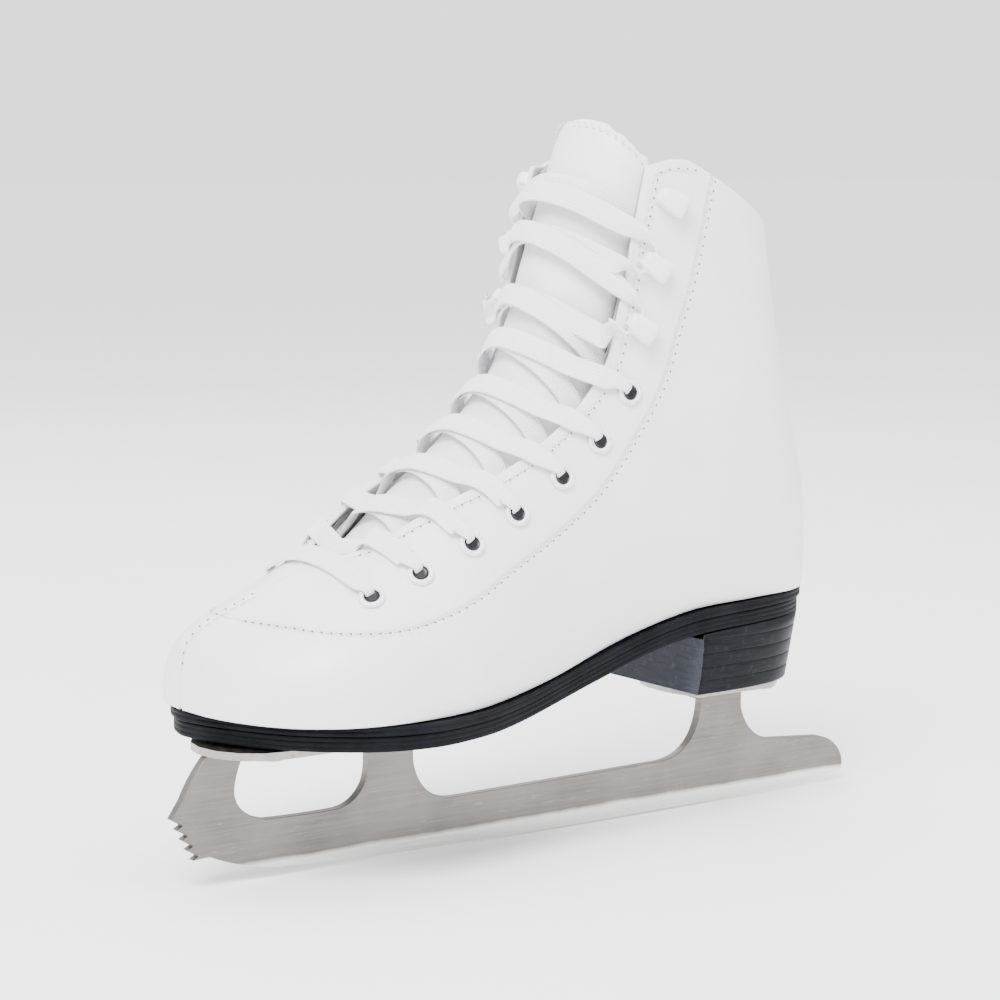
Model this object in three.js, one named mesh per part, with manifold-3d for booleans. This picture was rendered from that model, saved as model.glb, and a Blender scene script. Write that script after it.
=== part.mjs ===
// A left figure skate: a padded lace-up boot on a black sole and heel, riveted to a toothed blade.
// Millimetres. +Z is up, the toe points to -X and the wearer's left is -Y.
// Shapes are drawn with z = 0 at the running edge and x = 0 at the middle of the blade.
// The whole skate is then moved so that its origin is the heel seat of the footbed.
import * as THREE from "three";
import { mergeVertices } from "three/addons/utils/BufferGeometryUtils.js";
import Module from "manifold-3d";

// Overall sizes.
const SKATE_LENGTH = 284;
const BOOT_WIDTH = 96;
const BOOT_HEIGHT = 190;
const BLADE_HEIGHT = 46;

// Blade and its plates.
const BLADE_THICKNESS = 3.5;
const PICK_DEPTH = 3;
const PICK_COUNT = 5;
const PLATE_THICKNESS = 2.5;
const SOLE_PLATE_HALF_WIDTH = 22;
const HEEL_PLATE_HALF_WIDTH = 19;
const RIVET_RADIUS = 2;
const RIVET_HEAD_RADIUS = 4.2;
const RIVET_HEAD_HEIGHT = 1.5;
const HEEL_RIVET_LENGTH = 16;

// Sole and heel.
const OUTSOLE_THICKNESS = 5;
const MIDSOLE_THICKNESS = 3.2;
const MIDSOLE_MARGIN = 1;
const HEEL_TAPER = 4;
const BOARD_THICKNESS = 2.4;
const FOOTBED_THICKNESS = 3.4;

// Layers of the upper, from the outside in.
const LEATHER = 1.8;
const STIFFENER = 2;
const LINING = 1.2;
const BACKSTAY = 1;

// Tongue and lace.
const TONGUE_COVER = 1.2;
const TONGUE_FOAM = 5;
const TONGUE_LINING = 1;
const TONGUE_HALF_WIDTH = 50;
const THROAT_HALF_WIDTH = 30.5;
const LACE_WIDTH = 7.6;
const LACE_BUNCHED = 3.2;
const LACE_THICKNESS = 1.3;

// Eyelets and hooks.
const EYELET_BORE = 2.7;
const EYELET_WALL = 0.4;
const EYELET_FLANGE_RADIUS = 4.3;
const EYELET_FLANGE_HEIGHT = 0.9;
const HOOK_BASE_RADIUS = 4.4;
const HOOK_BASE_THICKNESS = 1;
const HOOK_REACH = 11;
const HOOK_HEIGHT = 8;
const HOOK_SLOT = 3.2;
const HOOK_CAP = 1.4;
const HOOK_RIVET_RADIUS = 1.3;

// Gap between pieces that touch, and free play round a shank or a barrel.
const GAP = 0.3;
const PLAY = 0.25;

const wasm = await Module();
wasm.setup();

// Places drawn at the nominal size are stretched to the overall sizes by these.
const SOLE_TOP = BLADE_HEIGHT + OUTSOLE_THICKNESS + GAP + MIDSOLE_THICKNESS;
const NOMINAL_SOLE_TOP = 54.5;
const X = (x) => (x * SKATE_LENGTH) / 284;
const Y = (y) => (y * BOOT_WIDTH) / 96;
const Z = (z) => SOLE_TOP + ((z - NOMINAL_SOLE_TOP) * BOOT_HEIGHT) / 190;
const ZB = (z) => (z * BLADE_HEIGHT) / 46;

const root = new THREE.Group();
const boot = new THREE.Group();
root.add(boot);

function solid(geometry) {
  const bare = geometry.clone();
  bare.deleteAttribute("normal");
  bare.deleteAttribute("uv");
  const merged = mergeVertices(bare, 1e-4);
  return new wasm.Manifold(
    new wasm.Mesh({
      numProp: 3,
      vertProperties: new Float32Array(merged.attributes.position.array),
      triVerts: new Uint32Array(merged.index.array),
    }),
  );
}

function geometryOf(manifold) {
  const mesh = manifold.getMesh();
  const geometry = new THREE.BufferGeometry();
  const points = new Float32Array(mesh.vertProperties);
  geometry.setAttribute("position", new THREE.BufferAttribute(points, 3));
  geometry.setIndex(new THREE.BufferAttribute(new Uint32Array(mesh.triVerts), 1));
  geometry.computeVertexNormals();
  return geometry;
}

function add(name, shape, colour, roughness, metalness = 0) {
  const geometry = shape.isBufferGeometry ? shape : geometryOf(shape);
  const material = new THREE.MeshStandardMaterial({ color: colour, roughness, metalness });
  const mesh = new THREE.Mesh(geometry, material);
  mesh.name = name;
  boot.add(mesh);
  return mesh;
}

// A smooth value through evenly spaced control values.
function spline(values, t) {
  const last = values.length - 1;
  const i = Math.min(Math.floor(t), last - 1);
  const f = t - i;
  const p0 = values[Math.max(i - 1, 0)];
  const p1 = values[i];
  const p2 = values[i + 1];
  const p3 = values[Math.min(i + 2, last)];
  const bend = 2 * p0 - 5 * p1 + 4 * p2 - p3;
  const twist = 3 * (p1 - p2) + p3 - p0;
  return p1 + 0.5 * f * (p2 - p0 + f * (bend + f * twist));
}

// Height of a smooth profile at x, through control points in rising x.
function profileHeight(points, x) {
  const xs = points.map((p) => p[0]);
  const zs = points.map((p) => p[1]);
  if (x <= xs[0]) return zs[0];
  if (x >= xs[xs.length - 1]) return zs[zs.length - 1];
  let i = 0;
  while (xs[i + 1] < x) i += 1;
  return spline(zs, i + (x - xs[i]) / (xs[i + 1] - xs[i]));
}

// A prism: a closed outline in side view (x, z), drawn out along y.
function sidePrism(outline, y0, y1) {
  const shape = new THREE.Shape(outline.map(([x, z]) => new THREE.Vector2(x, z)));
  const geometry = new THREE.ExtrudeGeometry(shape, { depth: y1 - y0, bevelEnabled: false });
  geometry.rotateX(Math.PI / 2);
  geometry.translate(0, y1, 0);
  return solid(geometry);
}

// A prism: a closed outline in plan (x, y), drawn out along z.
function planPrism(outline, z0, z1) {
  const shape = new THREE.Shape(outline.map(([x, y]) => new THREE.Vector2(x, y)));
  const geometry = new THREE.ExtrudeGeometry(shape, { depth: z1 - z0, bevelEnabled: false });
  geometry.translate(0, 0, z0);
  return solid(geometry);
}

// A turned piece from a closed (radius, height) profile, standing along +Z.
function turned(profile, sides) {
  const points = profile.map(([r, z]) => new THREE.Vector2(r, z));
  const geometry = new THREE.LatheGeometry(points, sides);
  geometry.rotateX(Math.PI / 2);
  return geometry;
}

function cylinder(radius, z0, z1, sides = 8) {
  const profile = [
    [0, z0],
    [radius, z0],
    [radius, z1],
    [0, z1],
  ];
  return turned(profile, sides);
}

// ---------------------------------------------------------------- the surface of the boot

// Rings from the toe tip back and up to above the cuff. Each one stands across the boot
// from a point on the front line to a point on the bottom or back line:
// front x, front z, back x, back z, left half width, right half width, middle y,
// widest place (0 back, 1 front), roundness of the back half, roundness of the front half.
const RINGS = [
  [-132.3, 63, -132.3, 61, 0.02, 0.02, 10, 0.4, 2.6, 2],
  [-132, 71, -132, 50, 10, 8, 10, 0.4, 3, 2],
  [-130.8, 76, -130.7, 47.5, 19, 14, 10, 0.4, 3.5, 2],
  [-127.8, 80, -127, 46.5, 28, 20, 9.5, 0.4, 4, 2],
  [-122.5, 84, -120.5, 46, 36, 26, 8.5, 0.4, 4.5, 2],
  [-113, 88.5, -110, 46, 43.5, 32, 7, 0.4, 5, 2],
  [-101, 94.5, -96, 46, 48.5, 37, 5, 0.4, 5, 2],
  [-88, 102, -78, 46, 49, 40.5, 3, 0.4, 4.5, 2],
  [-75, 112.5, -57, 46, 47, 41.5, 1.5, 0.42, 4, 2],
  [-61, 126, -34, 48, 44.5, 41.5, 0.5, 0.45, 3.2, 2],
  [-46, 139, -8, 53, 42, 40.5, 0, 0.47, 2.7, 2],
  [-33, 151, 20, 62, 40, 39.5, 0, 0.5, 2.6, 2],
  [-23, 162.5, 52, 69, 39, 39, 0, 0.52, 2.8, 2],
  [-17.5, 174, 85, 69, 38.5, 38.5, 0, 0.54, 2.9, 2],
  [-13, 186, 107.5, 71, 38, 38, 0, 0.56, 2.6, 2],
  [-9.5, 198, 112.5, 94, 38, 38, 0, 0.56, 2.3, 2],
  [-5.5, 209, 110.5, 115, 38, 38, 0, 0.55, 2.2, 2],
  [-2, 219, 104, 138, 38, 38, 0, 0.54, 2.2, 2],
  [2, 229, 98, 160, 38, 38, 0, 0.52, 2.2, 2],
  [6, 239, 92.5, 184, 38, 38, 0, 0.5, 2.2, 2],
  [10, 248, 88.5, 207, 38, 38, 0, 0.5, 2.2, 2],
  [15, 260, 87, 232, 38, 38, 0, 0.5, 2.2, 2],
];
const HALF_RING = 10;
const RING_SIDES = 2 * HALF_RING;
const LAST_RING = RINGS.length - 1;

const COLUMNS = RINGS[0].map((_, k) => RINGS.map((ring) => ring[k]));

// Points of one side of a ring, from the back line to the front line, evenly spaced.
function halfRing(u, side) {
  const [fx, fz, bx, bz, left, right, middle, widest, backPower, frontPower] = COLUMNS.map((c) =>
    spline(c, u),
  );
  const width = side < 0 ? left : right;
  const fine = [];
  const steps = 48;
  for (let i = 0; i <= steps; i += 1) {
    const angle = (Math.PI * i) / steps;
    const back = i * 2 < steps;
    const power = 2 / (back ? backPower : frontPower);
    const reach = Math.pow(Math.abs(Math.cos(angle)), power);
    const along = back ? widest * (1 - reach) : widest + (1 - widest) * reach;
    const out = width * Math.pow(Math.sin(angle), power);
    fine.push(
      new THREE.Vector3(
        X(bx + (fx - bx) * along),
        Y(middle + side * out),
        Z(bz + (fz - bz) * along),
      ),
    );
  }
  fine[0].y = Y(middle);
  fine[steps].y = Y(middle);
  const lengths = [0];
  for (let i = 1; i <= steps; i += 1) lengths.push(lengths[i - 1] + fine[i].distanceTo(fine[i - 1]));
  const points = [];
  let j = 0;
  for (let i = 0; i <= HALF_RING; i += 1) {
    const goal = (lengths[steps] * i) / HALF_RING;
    while (j < steps - 1 && lengths[j + 1] < goal) j += 1;
    const f = (goal - lengths[j]) / (lengths[j + 1] - lengths[j]);
    points.push(fine[j].clone().lerp(fine[j + 1], f));
  }
  return { points, length: lengths[steps] };
}

// The whole grid of points: ring by ring, from the back line round the left side to the front
// line and back round the right side.
const GRID = [];
const HALF_LENGTH = [];
for (let i = 0; i <= LAST_RING; i += 1) {
  const left = halfRing(i, -1);
  const right = halfRing(i, 1);
  const ring = left.points.concat(right.points.slice(1, -1).reverse());
  GRID.push(ring);
  HALF_LENGTH.push([left.length, right.length]);
}

// Outward normals of the grid.
const NORMALS = GRID.map((ring, i) =>
  ring.map((_, j) => {
    if (i === 0) return new THREE.Vector3(-1, 0, 0);
    const before = GRID[i - 1][j];
    const after = GRID[Math.min(i + 1, LAST_RING)][j];
    const along = after.clone().sub(before);
    const next = ring[(j + 1) % RING_SIDES];
    const last = ring[(j + RING_SIDES - 1) % RING_SIDES];
    const round = next.clone().sub(last);
    return along.cross(round).normalize();
  }),
);

// The closed boot form, every point moved in or out by the same distance.
function bootForm(offset) {
  const positions = [];
  const moved = GRID.map((ring, i) =>
    ring.map((p, j) => p.clone().addScaledVector(NORMALS[i][j], offset)),
  );
  const tip = new THREE.Vector3();
  moved[0].forEach((p) => tip.addScaledVector(p, 1 / RING_SIDES));
  const top = new THREE.Vector3();
  moved[LAST_RING].forEach((p) => top.addScaledVector(p, 1 / RING_SIDES));
  const triangle = (a, b, c) => positions.push(...a.toArray(), ...b.toArray(), ...c.toArray());
  for (let j = 0; j < RING_SIDES; j += 1) {
    const k = (j + 1) % RING_SIDES;
    triangle(tip, moved[1][j], moved[1][k]);
    for (let i = 1; i < LAST_RING; i += 1) {
      triangle(moved[i][j], moved[i + 1][j], moved[i + 1][k]);
      triangle(moved[i][j], moved[i + 1][k], moved[i][k]);
    }
    triangle(moved[LAST_RING][j], top, moved[LAST_RING][k]);
  }
  const geometry = new THREE.BufferGeometry();
  geometry.setAttribute("position", new THREE.Float32BufferAttribute(positions, 3));
  const made = solid(geometry);
  if (made.volume() > 0) return made;
  const index = [...Array(positions.length / 3).keys()];
  for (let i = 0; i < index.length; i += 3) [index[i + 1], index[i + 2]] = [index[i + 2], index[i + 1]];
  geometry.setIndex(index);
  return solid(geometry);
}

// A place on the front of the boot: ring number, distance from the front line measured round
// the surface (left is negative), and height above the surface.
function onFront(u, across, lift) {
  const i = Math.min(Math.floor(u), LAST_RING - 1);
  const side = across < 0 ? 0 : 1;
  const corner = (row) => {
    const cell = (Math.abs(across) / HALF_LENGTH[row][side]) * HALF_RING;
    const whole = Math.floor(cell);
    const index = (steps) => (side ? HALF_RING + steps : HALF_RING - steps);
    const mix = (rows) => {
      const a = rows[row][index(whole)];
      const b = rows[row][index(whole + 1) % RING_SIDES];
      return a.clone().lerp(b, cell - whole);
    };
    return { point: mix(GRID), normal: mix(NORMALS) };
  };
  const a = corner(i);
  const b = corner(i + 1);
  const along = b.point.clone().sub(a.point).normalize();
  const normal = a.normal.lerp(b.normal, u - i).normalize();
  const point = a.point.lerp(b.point, u - i).addScaledVector(normal, lift);
  return { point, normal, along };
}

// The flat direction of the surface round a place on the front of the boot.
function facetNormal(u, across) {
  const reach = 2;
  const here = onFront(u, across, 0);
  const beside = onFront(u, across + reach, 0).point.sub(onFront(u, across - reach, 0).point);
  const facet = here.along.clone().cross(beside).normalize();
  return facet.dot(here.normal) < 0 ? facet.negate() : facet;
}

// Depths of the layers below the outer surface.
const STIFFENER_TOP = LEATHER + GAP;
const LINING_TOP = STIFFENER_TOP + STIFFENER + GAP;
const LINING_BOTTOM = LINING_TOP + LINING;
const UNDER_LINING = LINING_BOTTOM + GAP;
const TONGUE_TOP = UNDER_LINING + LACE_THICKNESS + 2 * GAP;

const outside = bootForm(0);
const leatherInside = bootForm(-LEATHER);
const stiffenerOutside = bootForm(-STIFFENER_TOP);
const stiffenerInside = bootForm(-STIFFENER_TOP - STIFFENER);
const liningOutside = bootForm(-LINING_TOP);
const liningInside = bootForm(-LINING_BOTTOM);
const hollow = bootForm(-UNDER_LINING);

// ---------------------------------------------------------------- cutters in side view

const FAR = 400;
const BIG = 70;

// Top of the sole, which carries the bottom edge of the upper.
const SOLE_PROFILE = [
  [-134, 56],
  [-115, 54.8],
  [-90, 54.5],
  [-62, 54.5],
  [-40, 55.6],
  [-16, 59.5],
  [8, 65.6],
  [30, 72],
  [50, 76.4],
  [75, 78.2],
  [100, 79],
  [114, 79.4],
].map(([x, z]) => [X(x), Z(z)]);
const soleTop = (x) => profileHeight(SOLE_PROFILE, x);
const SOLE_STEPS = [];
for (let x = -134; x <= 118; x += 14) SOLE_STEPS.push(X(x));

// Everything between two heights above the sole's top surface.
function aboveSole(low, high, y = BIG) {
  const rising = SOLE_STEPS.map((x) => [x, soleTop(x) + low]);
  rising.unshift([X(-160), soleTop(SOLE_STEPS[0]) + low]);
  rising.push([X(150), soleTop(X(118)) + low]);
  if (high === undefined) {
    rising.push([X(150), FAR], [X(-160), FAR]);
    return sidePrism(rising, -y, y);
  }
  const falling = rising.map(([x, z]) => [x, z - low + high]).reverse();
  return sidePrism(rising.concat(falling), -y, y);
}

// Everything below the cuff's top edge.
const CUFF_PROFILE = [
  [-60, 229],
  [24, 229.5],
  [32, 231.5],
  [42, 230.2],
  [52, 226.5],
  [64, 219],
  [76, 210.5],
  [88, 205],
  [120, 203],
].map(([x, z]) => [X(x), Z(z)]);
function belowCuff(drop = 0) {
  const edge = [];
  for (let i = 0; i < CUFF_PROFILE.length - 1; i += 1) {
    const [x0] = CUFF_PROFILE[i];
    const [x1] = CUFF_PROFILE[i + 1];
    for (const f of [0, 0.5]) {
      const x = x0 + (x1 - x0) * f;
      edge.push([x, profileHeight(CUFF_PROFILE, x) - drop]);
    }
  }
  edge.push([X(120), Z(203) - drop], [X(160), Z(203) - drop], [X(160), 0], [X(-160), 0]);
  edge.push([X(-160), Z(229) - drop]);
  return sidePrism(edge, -BIG, BIG);
}

// The throat: the open strip between the two facings, drawn in plan.
const THROAT_START = -84;
// x, share of the half width on the left, and on the right where the lace pulls it in.
const THROAT_SHARES = [
  [THROAT_START, 0.13, 0.2],
  [-82.5, 0.32, 0.38],
  [-79, 0.45, 0.5],
  [-72, 0.6, 0.64],
  [-60, 0.77, 0.78],
  [-45, 0.9, 0.9],
  [-28, 0.98, 0.97],
  [-10, 1, 0.96],
  [10, 1, 0.84],
  [40, 1, 0.8],
];
const throatSide = (side) =>
  THROAT_SHARES.map(([x, left, right]) => [X(x), (side < 0 ? left : right) * THROAT_HALF_WIDTH]);
function throatOutline(widen) {
  const left = throatSide(-1).map(([x, y]) => [x, -y - widen]);
  const right = throatSide(1).map(([x, y]) => [x, y + widen]).reverse();
  left[0][0] -= widen;
  right[right.length - 1][0] -= widen;
  return left.concat(right);
}

// Distance round the surface from the front line to the edge of a facing.
function edgeAt(u, side) {
  const widths = throatSide(side);
  const step = 0.25;
  let across = 0;
  while (across < 60) {
    const { point } = onFront(u, side * (across + step), 0);
    if (Math.abs(point.y) >= profileHeight(widths, point.x)) return across;
    across += step;
  }
  return across;
}

const throat = planPrism(throatOutline(0), Z(84), FAR);
const wideThroat = planPrism(throatOutline(1.2), Z(84), FAR);

// The middle seam in plan: it follows the toe inwards and runs straight up the back.
const SEAM = [
  [-150, 10],
  [-126, 9.5],
  [-108, 6.5],
  [-90, 3.4],
  [-70, 1],
  [-50, 0],
  [150, 0],
];
function halfSpace(side) {
  const edge = SEAM.map(([x, y]) => [X(x), Y(y) + (side * GAP) / 2]);
  const outer = [
    [X(150), side * BIG],
    [X(-150), side * BIG],
  ];
  const outline = edge.concat(outer);
  return planPrism(side < 0 ? outline.reverse() : outline, -10, FAR);
}
const leftHalf = halfSpace(-1);
const rightHalf = halfSpace(1);

const aboveFeather = aboveSole(GAP);
const openBoot = belowCuff().intersect(aboveFeather);

const WHITE = 0xf1f1f3;
const GREY_LINING = 0x9b9b9f;
const BLACK = 0x17181c;
const STEEL = 0x8d8a86;
const TAN = 0xb39b78;

// ---------------------------------------------------------------- eyelets, hooks and their holes

// Each eyelet and hook: its ring, from the toe up, and its distance from the facing's edge.
const EYELETS = [
  [7.1, 28.5],
  [8.15, 19.5],
  [9.2, 17.5],
  [10.15, 14.8],
  [11.2, 13],
  [12.25, 13],
  [13.7, 12],
];
const HOOKS = [
  [15.1, 10],
  [16.8, 11],
  [18.6, 12],
];
const SIDES = [
  ["left", -1],
  ["right", 1],
];

// A matrix that stands +Z along a normal, with +X turned towards the front line.
function standing({ point, normal }, towards) {
  const z = normal.clone().normalize();
  const x = towards.clone().addScaledVector(z, -towards.dot(z)).normalize();
  const y = z.clone().cross(x);
  return new THREE.Matrix4().makeBasis(x, y, z).setPosition(point);
}

// Where a fitting stands, whether it is an eyelet or a hook.
function seatOf(u, side, fromEdge) {
  const across = side * (edgeAt(u, side) + fromEdge);
  const seat = onFront(u, across, 0);
  seat.normal = facetNormal(u, across);
  const inner = onFront(u, across - side * 4, 0);
  return standing(seat, inner.point.sub(seat.point));
}

const THROUGH = LINING_BOTTOM + 4;
// The flanges stand clear of the boot's slight hollow over the vamp.
const EYELET_SEAT = GAP + 0.3;
const EYELET_BOTTOM = -LINING_BOTTOM - 0.2;
const holes = [];
const eyeletSeats = [];
for (const [u, fromEdge] of EYELETS) {
  for (const [sideName, side] of SIDES) {
    const matrix = seatOf(u, side, fromEdge);
    eyeletSeats.push({ sideName, matrix });
    const hole = cylinder(EYELET_BORE + EYELET_WALL + PLAY, -THROUGH, 4, 10);
    holes.push(solid(hole.applyMatrix4(matrix)));
  }
}
const hookSeats = [];
for (const [number, [u, fromEdge]] of HOOKS.entries()) {
  for (const [sideName, side] of SIDES) {
    const matrix = seatOf(u, side, fromEdge);
    hookSeats.push({ sideName, side, number, matrix });
    const hole = cylinder(HOOK_RIVET_RADIUS + PLAY, -THROUGH, 4, 8);
    holes.push(solid(hole.applyMatrix4(matrix)));
  }
}
const allHoles = wasm.Manifold.compose(holes);

// ---------------------------------------------------------------- the upper

const leather = outside.subtract(leatherInside).intersect(openBoot).subtract(throat);
const drilled = leather.subtract(allHoles);
add("quarter_left", drilled.intersect(leftHalf), WHITE, 0.42);
add("quarter_right", drilled.intersect(rightHalf), WHITE, 0.42);

const lowered = belowCuff(1).intersect(aboveFeather);
const stiff = stiffenerOutside.subtract(stiffenerInside).intersect(lowered).subtract(wideThroat);

// Edge of the facings' reinforcement, from the vamp up to the cuff.
const FACING_EDGE = [
  [-97, 80],
  [-84, 84],
  [-67, 87],
  [-53, 92],
  [-40, 99],
  [-20, 109.5],
  [-2, 121.5],
  [13, 137],
  [26, 155],
  [33, 175],
  [38, 190],
  [42, 206],
  [47, 236],
].map(([x, z]) => [X(x), Z(z)]);
const facingArea = sidePrism(
  FACING_EDGE.concat([
    [X(-60), Z(236)],
    [X(-97), Z(160)],
  ]),
  -BIG,
  BIG,
);
const facings = stiff.intersect(facingArea).subtract(allHoles);
add("facing_reinforcement_left", facings.intersect(leftHalf), TAN, 0.8);
add("facing_reinforcement_right", facings.intersect(rightHalf), TAN, 0.8);

const toeArea = sidePrism(
  [
    [X(-150), 0],
    [X(-96), 0],
    [X(-98.5), Z(80)],
    [X(-104), Z(110)],
    [X(-150), Z(110)],
  ],
  -BIG,
  BIG,
);
add("toe_puff", stiff.intersect(toeArea), TAN, 0.8);

const counterArea = sidePrism(
  [
    [X(20), 0],
    [X(150), 0],
    [X(150), Z(130)],
    [X(95), Z(130)],
    [X(60), Z(112)],
    [X(34), Z(92)],
  ],
  -BIG,
  BIG,
);
add("heel_counter", stiff.intersect(counterArea), TAN, 0.8);

const padArea = sidePrism(
  [
    [X(42), Z(104)],
    [X(62), Z(116)],
    [X(96), Z(133)],
    [X(92), Z(196)],
    [X(70), Z(207)],
    [X(50), Z(212)],
    [X(45), Z(190)],
    [X(40), Z(172)],
    [X(33), Z(150)],
    [X(26), Z(134)],
  ],
  -BIG,
  BIG,
);
const pads = stiff.intersect(padArea);
const PAD_FROM_SEAM = 4.5;
const offSeam = (side) =>
  planPrism(
    [
      [X(-150), side * PAD_FROM_SEAM],
      [X(150), side * PAD_FROM_SEAM],
      [X(150), side * BIG],
      [X(-150), side * BIG],
    ],
    -10,
    FAR,
  );
add("ankle_pad_left", pads.intersect(offSeam(-1)), 0xd9d4c7, 0.9);
add("ankle_pad_right", pads.intersect(offSeam(1)), 0xd9d4c7, 0.9);

const lining = liningOutside.subtract(liningInside).intersect(openBoot).subtract(throat);
add("lining", lining.subtract(allHoles), GREY_LINING, 0.95);

// The backstay: a strip over the back seam, widening towards the heel.
const STAY = [
  [75, 79.8, 14],
  [75, 110, 12],
  [75, 150, 8],
  [75, 206, 7],
];
const stayOutline = STAY.map(([, z, y]) => [y, Z(z)]).concat(
  STAY.map(([, z, y]) => [-y, Z(z)]).reverse(),
);
const stayShape = new THREE.Shape(stayOutline.map(([y, z]) => new THREE.Vector2(y, z)));
const stayGeometry = new THREE.ExtrudeGeometry(stayShape, { depth: X(80), bevelEnabled: false });
stayGeometry.rotateX(Math.PI / 2);
stayGeometry.rotateZ(Math.PI / 2);
stayGeometry.translate(X(70), 0, 0);
const stayArea = solid(stayGeometry);
const stayShell = bootForm(GAP + BACKSTAY).subtract(bootForm(GAP));
add("backstay", stayShell.intersect(stayArea).intersect(openBoot), WHITE, 0.45);

// ---------------------------------------------------------------- insole board and footbed

const board = hollow.intersect(aboveSole(GAP, GAP + BOARD_THICKNESS));
const bedLow = GAP + BOARD_THICKNESS + GAP;
const bed = hollow.intersect(aboveSole(bedLow, bedLow + FOOTBED_THICKNESS));
add("footbed", bed, 0x6f7074, 0.9);

// ---------------------------------------------------------------- sole and heel

// Half outline of the sole in plan: x, left y, right y.
const SOLE_OUTLINE = [
  [-130.5, 2, 19],
  [-126.5, -6.5, 26.5],
  [-118, -18.5, 33],
  [-104, -33, 38.5],
  [-88, -43.2, 42.5],
  [-70, -46.5, 44],
  [-50, -43.5, 42],
  [-30, -38, 37],
  [-10, -32.5, 31.5],
  [12, -29.5, 28.5],
  [34, -29, 28.5],
  [56, -30.5, 30],
  [78, -30, 30],
  [94, -26, 26],
  [105, -18.5, 18.5],
  [111, -9, 9],
];
const TOE_POINT = [-132.4, 10.5];
const HEEL_POINT = [113, 0];

function soleOutline(grow) {
  const left = SOLE_OUTLINE.map(([x, y]) => [x, y]);
  const right = SOLE_OUTLINE.map(([x, , y]) => [x, y]).reverse();
  const closed = [TOE_POINT, ...left, HEEL_POINT, ...right];
  const points = closed.map(([x, y]) => new THREE.Vector3(X(x), Y(y), 0));
  const curve = new THREE.CatmullRomCurve3(points, true, "centripetal");
  const fine = curve.getPoints(44).slice(0, -1);
  return fine.map((p, i) => {
    const before = fine[(i + fine.length - 1) % fine.length];
    const after = fine[(i + 1) % fine.length];
    const along = after.clone().sub(before).normalize();
    return [p.x + along.y * grow, p.y - along.x * grow];
  });
}
const plan = (grow) => planPrism(soleOutline(grow), -10, FAR);

const midsoleLow = -MIDSOLE_THICKNESS;
const outsoleLow = midsoleLow - GAP - OUTSOLE_THICKNESS;
let midsole = plan(0).intersect(aboveSole(midsoleLow, 0));
let outsole = plan(-MIDSOLE_MARGIN).intersect(aboveSole(outsoleLow, midsoleLow - GAP));

// The heel stands under the back of the outsole and narrows a little towards the floor.
const BREAST = X(49);
const heelTop = soleOutline(-MIDSOLE_MARGIN);
const heelPositions = [];
const heelLow = BLADE_HEIGHT;
const heelHigh = Z(88);
const heelMiddle = X(80);
const shrink = ([x, y]) => {
  const pull = 1 - HEEL_TAPER / Math.hypot(x - heelMiddle, y);
  return [heelMiddle + (x - heelMiddle) * pull, y * pull];
};
const heelRing = heelTop.filter(([x]) => x > BREAST - X(16));
const atHeight = (points, z) => points.map(([x, y]) => new THREE.Vector3(x, y, z));
const lowRing = atHeight(heelRing.map(shrink), heelLow);
const highRing = atHeight(heelRing, heelHigh);
for (let i = 0; i < heelRing.length; i += 1) {
  const j = (i + 1) % heelRing.length;
  const push = (...corners) => corners.forEach((c) => heelPositions.push(...c.toArray()));
  push(lowRing[i], lowRing[j], highRing[j]);
  push(lowRing[i], highRing[j], highRing[i]);
  if (i > 0 && j > 0) {
    push(lowRing[0], lowRing[j], lowRing[i]);
    push(highRing[0], highRing[i], highRing[j]);
  }
}
const heelGeometry = new THREE.BufferGeometry();
heelGeometry.setAttribute("position", new THREE.Float32BufferAttribute(heelPositions, 3));
const BREAST_CURVE = X(90);
const breastTool = new THREE.CylinderGeometry(BREAST_CURVE, BREAST_CURVE, 90, 64);
breastTool.translate(BREAST - BREAST_CURVE + X(3.5), 0, ZB(58));
let heel = solid(heelGeometry)
  .intersect(aboveSole(-60, outsoleLow - GAP))
  .subtract(solid(breastTool));

// ---------------------------------------------------------------- blade, plates and rivets

const PLATE_TOP = BLADE_HEIGHT - GAP;
const PLATE_BOTTOM = PLATE_TOP - PLATE_THICKNESS;
const BLADE_TOP = PLATE_BOTTOM - GAP;
const FRONT_TOP = [-129, -115];
const MIDDLE_TOP = [-69, -50];
const HEEL_TOP = [73.5, 93];

const bladeShape = new THREE.Shape();
const go = (x, z) => bladeShape.lineTo(X(x), ZB(z));
const bend = (cx, cz, x, z) => bladeShape.quadraticCurveTo(X(cx), ZB(cz), X(x), ZB(z));
bladeShape.moveTo(X(FRONT_TOP[0]), BLADE_TOP);
bladeShape.quadraticCurveTo(X(-134.5), ZB(37), X(-138), ZB(29.5));
go(-142, 23.6);
for (let i = 0; i < PICK_COUNT - 1; i += 1) {
  const f = (i + 0.55) / (PICK_COUNT - 1);
  const g = (i + 1) / (PICK_COUNT - 1);
  bladeShape.lineTo(X(-142 + 7.4 * f) + PICK_DEPTH, ZB(23.6 - 14.2 * f) - 0.4);
  go(-142 + 7.4 * g, 23.6 - 14.2 * g);
}
go(-128.6, 9.8);
bend(-117, 4.6, -104, 2.9);
bend(-80, 0.9, -46, 0.5);
bend(10, -0.3, 60, 0.1);
bend(104, 0.6, 141.6, 3.4);
bend(143.2, 8.2, 139.8, 12.4);
bend(136.6, 16.6, 130, 17.9);
go(107, 19.8);
bend(95.5, 21.4, 92.4, 33);
bladeShape.quadraticCurveTo(X(92), ZB(38), X(HEEL_TOP[1]), BLADE_TOP);
bladeShape.lineTo(X(HEEL_TOP[0]), BLADE_TOP);
bend(74, 19, 55, 17.6);
go(-34, 16.8);
bend(-48, 17.4, -50.6, 31);
bladeShape.quadraticCurveTo(X(-51), ZB(37), X(MIDDLE_TOP[1]), BLADE_TOP);
bladeShape.lineTo(X(MIDDLE_TOP[0]), BLADE_TOP);
bend(-68, 30, -70.2, 26);
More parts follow.
